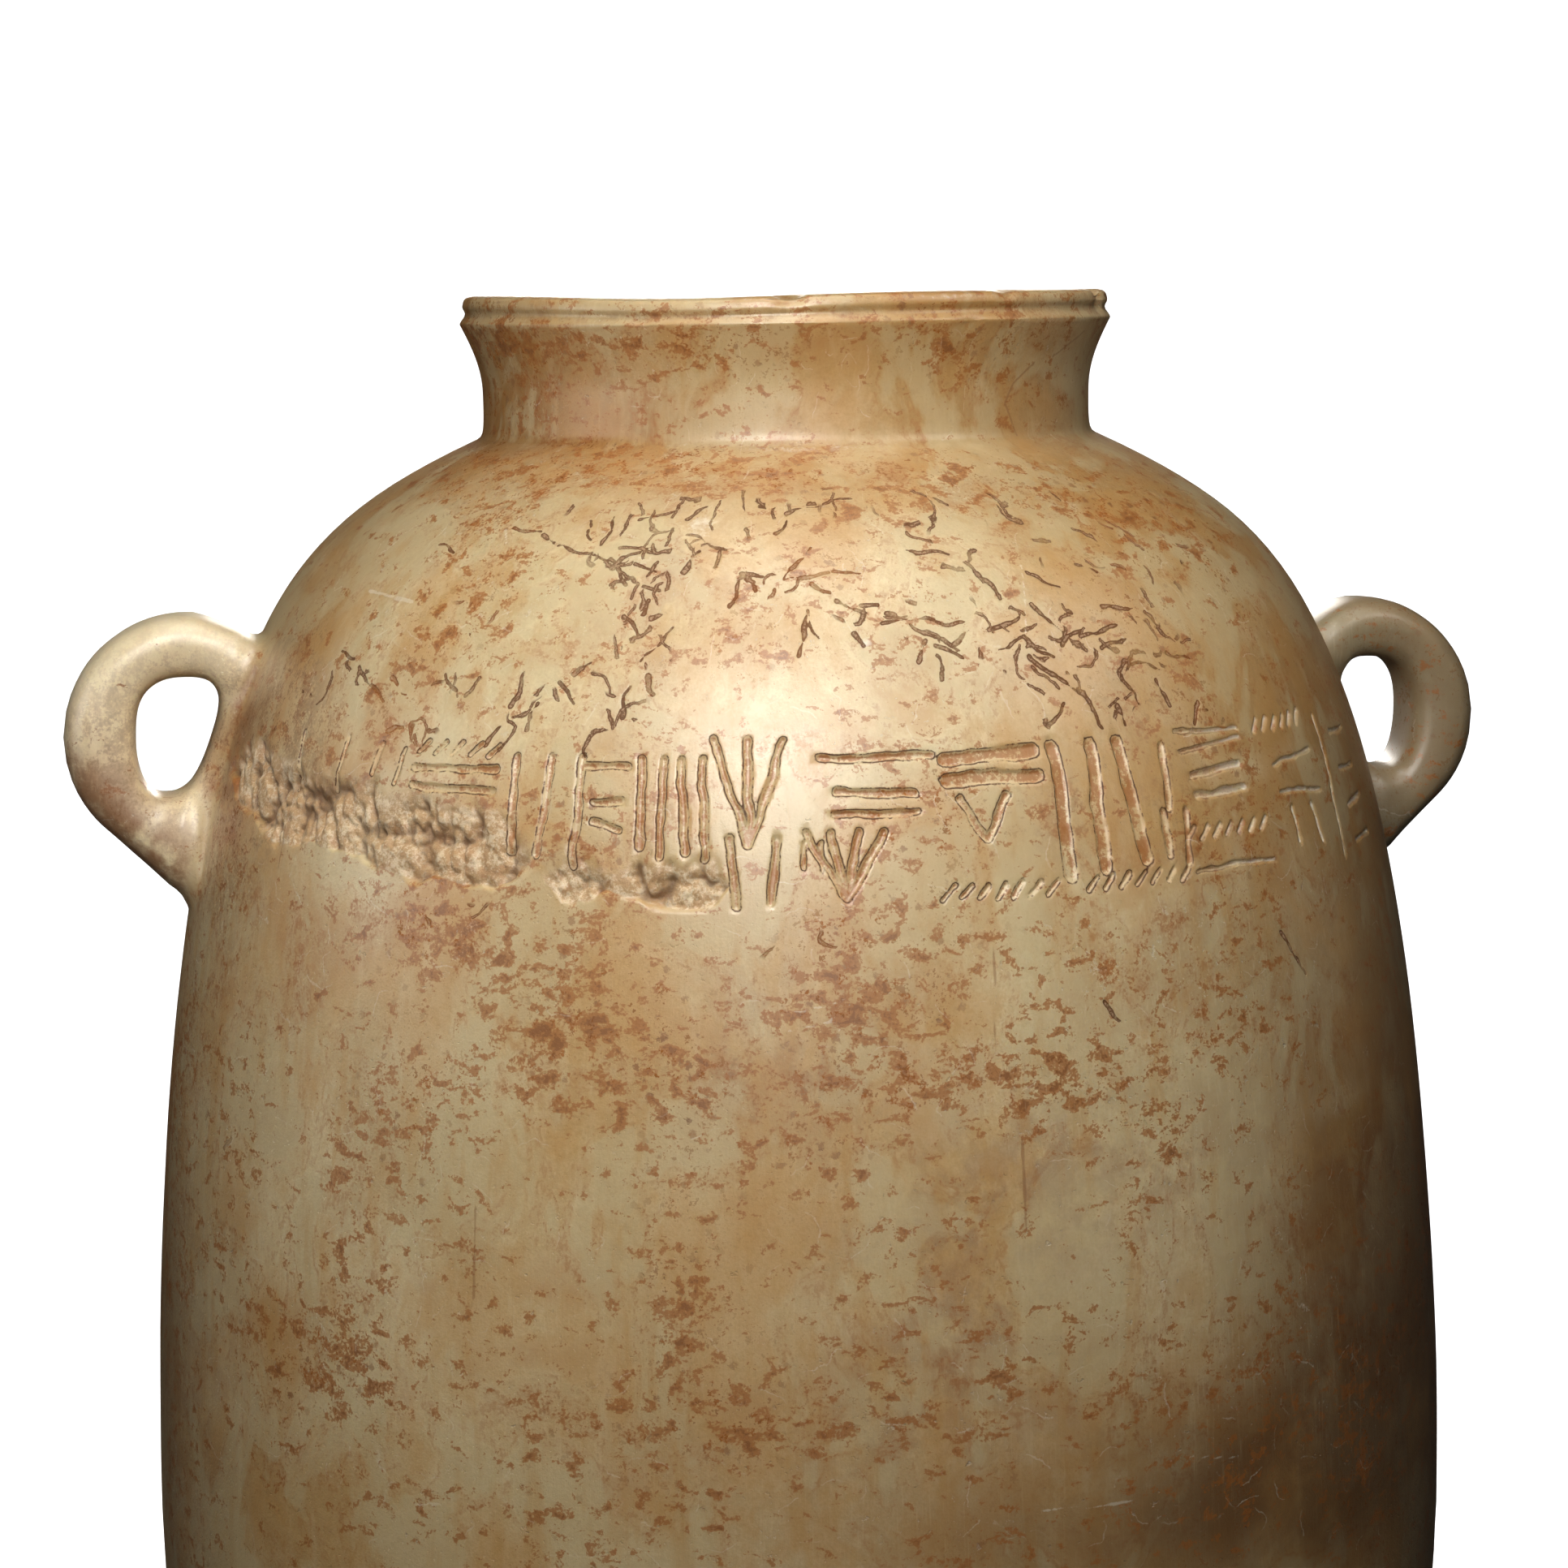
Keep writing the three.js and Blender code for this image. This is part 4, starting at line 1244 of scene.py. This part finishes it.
class Calcite(Finish):
    """Honey-coloured stone, painted over layer by layer."""

    def __init__(self):
        super().__init__("calcite")
        self.cloud, self.drift, self.wisp = (self.layer(name) for name in ("cloud", "drift", "wisp"))
        self.mottle = self.noise(11, 5, 0.66)
        self.grain = self.noise(3.0, 5, 0.7)
        self.dust = self.noise(0.7, 2, 0.6)
        self.rough_grain = self.grain + 0.5 * (self.dust - 0.5)
        self.drifting = self.drift + (self.mottle - 0.5)
        self.brushing = self.noise(0.8, 3, 0.6, stretch=(1, 1, 0.04))
        self.ochre, self.spalled = self.layer("ochre"), self.layer("spalled")
        self.stroke = self.layer("stroke")
        pale = self.step(self.cloud + 0.3 * (self.mottle - 0.5), -0.3, 0.35)
        self.tone = self.blend(pale, HONEY, CREAM)

    def over(self, share, paint, how="MIX"):
        """Lay a colour over what is painted so far."""
        self.tone = self.blend(share, self.tone, paint, how)

    def gritty(self, value, grit):
        """A value with a share of fine grit in it, so that its edge crumbles."""
        return value + grit * (self.rough_grain - 0.5)

    def washes(self):
        """Broad areas of creamy, green, violet and ochre colour that run into each other; the deeper
        orange is partly painted shade at the sides and neck, and the pale patches in front partly painted
        highlight.
        """
        self.over(self.step(self.drift, 0.0, 0.5) * 0.6, AMBER)
        self.over(self.layer("green") * self.step(self.drifting, -0.4, 0.3) * 0.8, GREEN_GREY)
        # Partly painted highlight: the pale patches across the front shoulder stand for the lamp's broad
        # glare
        self.over(self.layer("cream_and_highlight") * self.step(self.drifting, -0.5, 0.2) * 0.85, CREAM)
        self.over(self.layer("violet") * self.step(self.mottle, 0.38, 0.6) * 0.75, VIOLET_GREY)
        # Partly painted shade: deeper amber where the light falls away at the neck, the sides and the
        # bottom
        self.over(self.layer("amber_and_shade") * 0.75, DEEP_AMBER_AND_SHADE)
        self.over(self.ochre * self.step(self.drifting, -0.3, 0.4) * 0.55, AMBER)
        self.over(self.ochre * self.step(self.gritty(self.mottle, 0.7), 0.5, 0.66) * 0.75, OCHRE)
        wisps = self.step(self.wisp + 0.8 * (self.mottle - 0.5), 0.08, 0.5)
        self.over(wisps * self.step(self.rough_grain, 0.3, 0.7) * 0.5, OCHRE)
        self.over(self.step(0.6 * (self.mottle - 0.5) - self.wisp, 0.15, 0.6) * 0.45, CREAM)
        light = self.blend(self.step(self.rough_grain, 0.25, 0.75), GRAIN_SHADE, WHITE)
        self.over(0.6, light, "MULTIPLY")

    def pools_and_runs(self):
        """Clear pools with rusty shores, and upright runs."""
        pools = self.noise(30, 6, 0.6, stretch=(1, 1, 0.75), twist=0.5)
        self.over(self.step(pools, 0.5, 0.57) * 0.5, GREEN_GREY)
        self.over(self.step(1 - pools, 0.51, 0.6) * 0.3, OCHRE_PALE)
        shores = self.ridge(pools, 0.5, 0.03) * self.step(self.rough_grain, 0.44, 0.58)
        self.over(shores * 0.45, OCHRE)
        runs = self.noise(8, 4, 0.6, stretch=(1, 1, 0.16), twist=0.3)
        self.over(self.step(runs, 0.52, 0.68) * 0.35, AMBER)
        self.over(self.step(1 - runs, 0.54, 0.7) * 0.2, CREAM)
        # Painted shade: dark brown laid over the lower right, the bottom and the edges, where the light
        # falls away
        self.over(self.layer("painted_shade") * self.step(self.drifting, -1.1, 0.2) * 0.8, SHADE_BROWN)

    def handles(self):
        """The handles' colours, the left one paler partly as painted light and the right one greyer partly
        as painted shade, and calm, which keeps most specks off them.
        """
        left, right = self.layer("left_handle"), self.layer("right_handle")
        self.over(left * (0.72 + 0.2 * self.step(self.mottle, 0.4, 0.56)), LIT_HANDLE_CREAM)
        self.over(right * 0.6, SHADED_HANDLE_GREY)
        # Painted shade: mottled rust along the left handle's underside
        self.over(self.layer("underside_shade") * self.step(self.mottle, 0.3, 0.55) * 0.8, RUST)
        self.calm = 1 - 0.7 * left - 0.6 * right

    def freckles(self):
        """Rusty flecks, specks and clumps, and pale motes."""
        field = self.step(self.drift - 0.5 * self.cloud + 0.6 * (self.ochre - 0.25), -0.3, 0.5)
        self.flecks = self.step(self.rough_grain + 0.35 * (self.mottle - 0.5), 0.6, 0.66) * field
        self.over(self.flecks * self.calm * 0.7, RUST)
        specks = 1 - self.step(self.gritty(self.spots(5.2), 0.8), 0.1, 0.2)
        self.over(specks * field * self.calm * 0.75, RUST)
        strewn = 0.08 * self.layer("freckled") + 0.1 * (self.drift + 0.5 * self.ochre)
        strewn = strewn + 0.3 * (self.dust - 0.5) - 0.12 * (1 - self.calm)
        clumps = self.noise(5.5, 4, 0.62, stretch=(1, 1, 1.5), twist=0.4) + strewn
        self.over(self.step(clumps, 0.58, 0.64) * 0.75, OCHRE)
        self.over(self.step(clumps, 0.67, 0.75) * 0.7, RUST_DARK)
        motes = self.step(0.8 * (1 - self.rough_grain) + 0.3 * (self.mottle - 0.5), 0.52, 0.6)
        self.over(motes * self.step(self.cloud, -0.3, 0.3) * 0.35, CHALK)

    def crusts(self):
        """Brown crusts, chalky blobs and the broken stone."""
        brown = self.layer("brown")
        self.over(brown * self.step(self.gritty(self.mottle, 0.9), 0.4, 0.56) * 0.45, RUST)
        dark = self.step(self.rough_grain + 0.4 * (self.mottle - 0.5), 0.5, 0.66)
        self.over(brown * dark * 0.25, UMBER)
        self.over(self.step(self.gritty(self.layer("blob"), 0.7), 0.4, 0.7) * 0.7, CHALK)
        crumbs = self.blend(self.step(self.rough_grain, 0.42, 0.64), CRUMB, CRUMB_TOP)
        crease = self.step(self.gritty(self.layer("crevice"), 0.9), 0.5, 0.9)
        crumbs = self.blend(crease * 0.8, crumbs, UMBER_SOFT)
        self.over(self.step(self.spalled, 0.1, 0.7) * 0.8, crumbs)

    def strokes(self):
        """Worn and chalky strokes with dark edges and ochre beds."""
        chalk = self.layer("chalk")
        worn = self.blend(self.step(self.gritty(self.mottle, 0.4), 0.46, 0.62), CREAM, AMBER)
        worn = self.blend(chalk * self.step(self.rough_grain, 0.4, 0.5), worn, CHALK)
        self.over(self.step(self.stroke, 0.5, 0.8) * (0.25 + 0.6 * chalk), worn)
        stained = self.step(self.gritty(self.mottle, 0.6), 0.36, 0.5) * (1 - 0.85 * chalk)
        self.outline = self.ridge(self.gritty(self.stroke, 0.3), 0.5, 0.2) * stained
        self.over(self.outline, UMBER)
        bed = self.step(self.gritty(self.stroke, 1.6) + 0.6 * (self.mottle - 0.5), 0.8, 1.0)
        self.over(bed * (1 - 0.8 * chalk) * 0.7, OCHRE)

    def roots(self):
        """Marks that rootlets left: dark at their edges, grey at their cores."""
        mark, rooted = self.gritty(self.layer("mark"), 0.3), self.layer("rooted")
        edge, core = self.step(mark, 0.4, 0.5), self.step(mark, 0.72, 0.9)
        flat = self.unrolled(5.0)
        for spacing, length in ((6.5, 5.0), (8.6, 7.4)):
            gap, chance = self.scattered(flat, spacing, length)
            present = self.step(0.76 * rooted - 0.85 * chance, 0.1, 0.14)
            gap = gap + 0.7 * (self.dust - 0.5) + 0.5 * (self.grain - 0.5)
            edge = self.larger(edge, (1 - self.step(gap, 0.42, 0.66)) * present)
            core = self.larger(core, (1 - self.step(gap, 0.1, 0.3)) * present)
        scuff = (1 - self.step(gap, 0.06, 0.24)) * self.step(chance, 0.6, 0.62)
        self.over(scuff * self.step(self.mottle, 0.4, 0.6) * 0.3, CHALK)
        warm = self.drift + 0.6 * (self.ochre - 0.3) + 0.4 * (self.mottle - 0.5)
        ink = self.blend(0.25 + 0.75 * self.step(warm, -0.15, 0.35), PLUM, RUST)
        ink = self.blend(core * self.step(self.dust, 0.4, 0.56) * 0.7, ink, GREY_CORE)
        faint = self.step(self.gritty(self.mottle, 0.5), 0.36, 0.54)
        self.over(edge * (0.5 + 0.4 * faint), ink)
        self.edge = edge

    def lines(self):
        """Cracks, scratches and the marks of brushing, and the darker inside."""
        self.over(self.step(self.gritty(self.layer("crack"), 0.6), 0.3, 0.6) * 0.45, RUST)
        self.over(self.step(self.gritty(self.layer("scratch"), 0.9), 0.4, 0.65) * 0.4, CHALK)
        brushed = self.step(self.brushing, 0.55, 0.75) * self.step(self.cloud, -0.3, 0.4)
        self.over(brushed * 0.25, CREAM)
        self.over(self.layer("inside") * 0.6, AMBER)

    def face(self):
        """How rough and uneven the stone is, and how light enters it."""
        crust = self.larger(self.edge, self.larger(self.flecks, self.outline))
        rough = 0.22 + 0.12 * self.mottle + 0.1 * self.brushing + 0.2 * self.dust
        rough = rough + 0.35 * self.spalled + 0.12 * self.stroke + 0.3 * crust
        pits = 1 - self.step(self.rough_grain, 0.26, 0.34)
        height = 0.05 * self.brushing + 0.07 * self.grain + 0.07 * self.dust
        height = height + 0.14 * self.dust * self.spalled - 0.1 * pits + 0.06 * self.mottle
        height = height - 0.06 * self.edge
        bump = self.node("ShaderNodeBump", {}, {"Strength": 1.0, "Distance": MM, "Height": height})
        self.set(Base_Color=self.tone, Roughness=rough, Normal=bump)
        self.set(Coat_Weight=(0.95 - 0.7 * self.spalled) * (1 - crust), Coat_Roughness=0.47, Coat_IOR=1.75)
        self.set(IOR=1.53, Subsurface_Weight=0.15, Subsurface_Scale=0.005)
        self.set(Subsurface_Radius=(1.0, 0.68, 0.38))


def calcite():
    stone = Calcite()
    stone.washes()
    stone.pools_and_runs()
    stone.handles()
    stone.freckles()
    stone.crusts()
    stone.strokes()
    stone.roots()
    stone.lines()
    stone.face()
    return stone.material


def dress_jar():
    strokes, marks = on_sheet(band_strokes()), root_marks()
    body = turned_body(strokes, marks)
    handles = []
    for side, drop in ((-1, 0.0), (1, RIGHT_HANDLE_DROP)):
        handles.append(mesh_object("handle_ring", *handle_mesh(side, drop)))
    jar = joined(body, handles)
    soften_roots(jar, body, handles)
    mark_places(jar, strokes, marks)
    for helper in (body, *handles):
        bpy.data.objects.remove(helper)
    jar.data.materials.clear()
    jar.data.materials.append(calcite())
    jar.data.shade_smooth()
    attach(jar, "root")
    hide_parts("jar")


# Setting: white ground and air, camera and its lamps

def white_ground():
    """White paper that glows white further off and grey round the foot, a painted soft shadow, where the
    lamps' own light and the jar's shadow also show.
    """
    bpy.ops.mesh.primitive_plane_add(size=8)
    ground = bpy.context.object
    ground.name = "ground"
    paper = Finish("white_paper")
    off_axis = paper.node("ShaderNodeVectorMath", {"operation": "LENGTH"}, {0: paper.place()}, "Value")
    white, grey = (1.0, 1.0, 1.0, 1.0), (0.55, 0.54, 0.53, 1.0)
    painted_foot_shadow = paper.step(off_axis, 50, 330)
    paper.set(Base_Color=(0.8, 0.8, 0.8, 1), Roughness=0.9, Emission_Strength=1.0)
    # Painted shadow: the paper's glow turns grey round the foot
    paper.set(Emission_Color=paper.blend(painted_foot_shadow, grey, white))
    ground.data.materials.append(paper.material)
    ground.visible_diffuse = False
    ground.visible_glossy = False


def white_air():
    """White to the camera, and nearly dark to the stone."""
    world = bpy.data.worlds.new("white_air")
    bpy.context.scene.world = world
    world.use_nodes = True
    nodes, links = world.node_tree.nodes, world.node_tree.links
    seen = nodes.new("ShaderNodeBackground")
    seen.inputs["Color"].default_value = (1, 1, 1, 1)
    dim = nodes["Background"]
    dim.inputs["Color"].default_value = (1.0, 0.97, 0.93, 1)
    dim.inputs["Strength"].default_value = 0.012
    rays = nodes.new("ShaderNodeLightPath")
    either = nodes.new("ShaderNodeMixShader")
    links.new(rays.outputs["Is Camera Ray"], either.inputs[0])
    links.new(dim.outputs[0], either.inputs[1])
    links.new(seen.outputs[0], either.inputs[2])
    links.new(either.outputs[0], nodes["World Output"].inputs[0])


CAMERA_AZIMUTH = -11.5
CAMERA_DISTANCE = 1.02
CAMERA_HEIGHT = 0.505
CAMERA_PITCH = 7.3645
CAMERA_ROLL = -0.7
CAMERA_LENS = 86.65
CAMERA_SHIFT = -0.00414


def place_camera():
    data = bpy.data.cameras.new("camera")
    data.lens = CAMERA_LENS
    data.sensor_width = 36
    data.shift_x = CAMERA_SHIFT
    data.clip_start = 0.01
    camera = linked("camera", data)
    turn = math.radians(CAMERA_AZIMUTH)
    place = Vector((CAMERA_DISTANCE * math.sin(turn), -CAMERA_DISTANCE * math.cos(turn), CAMERA_HEIGHT))
    facing = (
        Matrix.Rotation(turn, 4, "Z")
        @ Matrix.Rotation(math.radians(90 - CAMERA_PITCH), 4, "X")
        @ Matrix.Rotation(math.radians(CAMERA_ROLL), 4, "Z")
    )
    camera.matrix_world = Matrix.Translation(place) @ facing
    bpy.context.scene.camera = camera
    return camera


def lamp(name, azimuth, radius, height, power, size, tint):
    """A soft square lamp that looks at the jar's shoulder from a place round it."""
    data = bpy.data.lights.new(name, "AREA")
    data.energy = power
    data.size = size
    data.color = tint
    light = linked(name, data)
    turn = math.radians(azimuth)
    place = Vector((radius * math.sin(turn), -radius * math.cos(turn), height))
    aim = place - Vector((0, 0, 0.4))
    light.matrix_world = Matrix.Translation(place) @ aim.to_track_quat("Z", "Y").to_matrix().to_4x4()


# Lamps: name, azimuth, distance from the axis, height, power, size, tint
LAMPS = (
    ("key", -16, 0.62, 0.72, 2.35, 0.2, (1.0, 0.99, 0.97)),
    ("left", -80, 0.6, 0.5, 0.4, 0.2, (1.0, 0.98, 0.95)),
    ("right", 46, 0.5, 0.78, 0.5, 0.2, (1.0, 0.97, 0.93)),
    ("top", -12, 0.25, 1.25, 1.9, 0.35, (1.0, 0.97, 0.93)),
    ("back", 168, 0.75, 0.6, 2.2, 0.3, (1.0, 0.97, 0.93)),
)


def camera_light(camera, strength):
    """Even light from where the camera stands, which goes with it to other views."""
    data = bpy.data.lights.new("camera_light", "SUN")
    data.energy = strength
    data.angle = math.radians(12)
    light = linked("camera_light", data)
    light.parent = camera
    light.rotation_euler = (math.radians(-18), math.radians(-6), 0)


dress_jar()
white_ground()
white_air()
camera = place_camera()
bpy.context.view_layer.update()
for setting in LAMPS:
    lamp(*setting)
camera_light(camera, 0.05)
view = bpy.context.scene.view_settings
view.exposure = 0.39
view.gamma = 0.9
view.view_transform = "Standard"
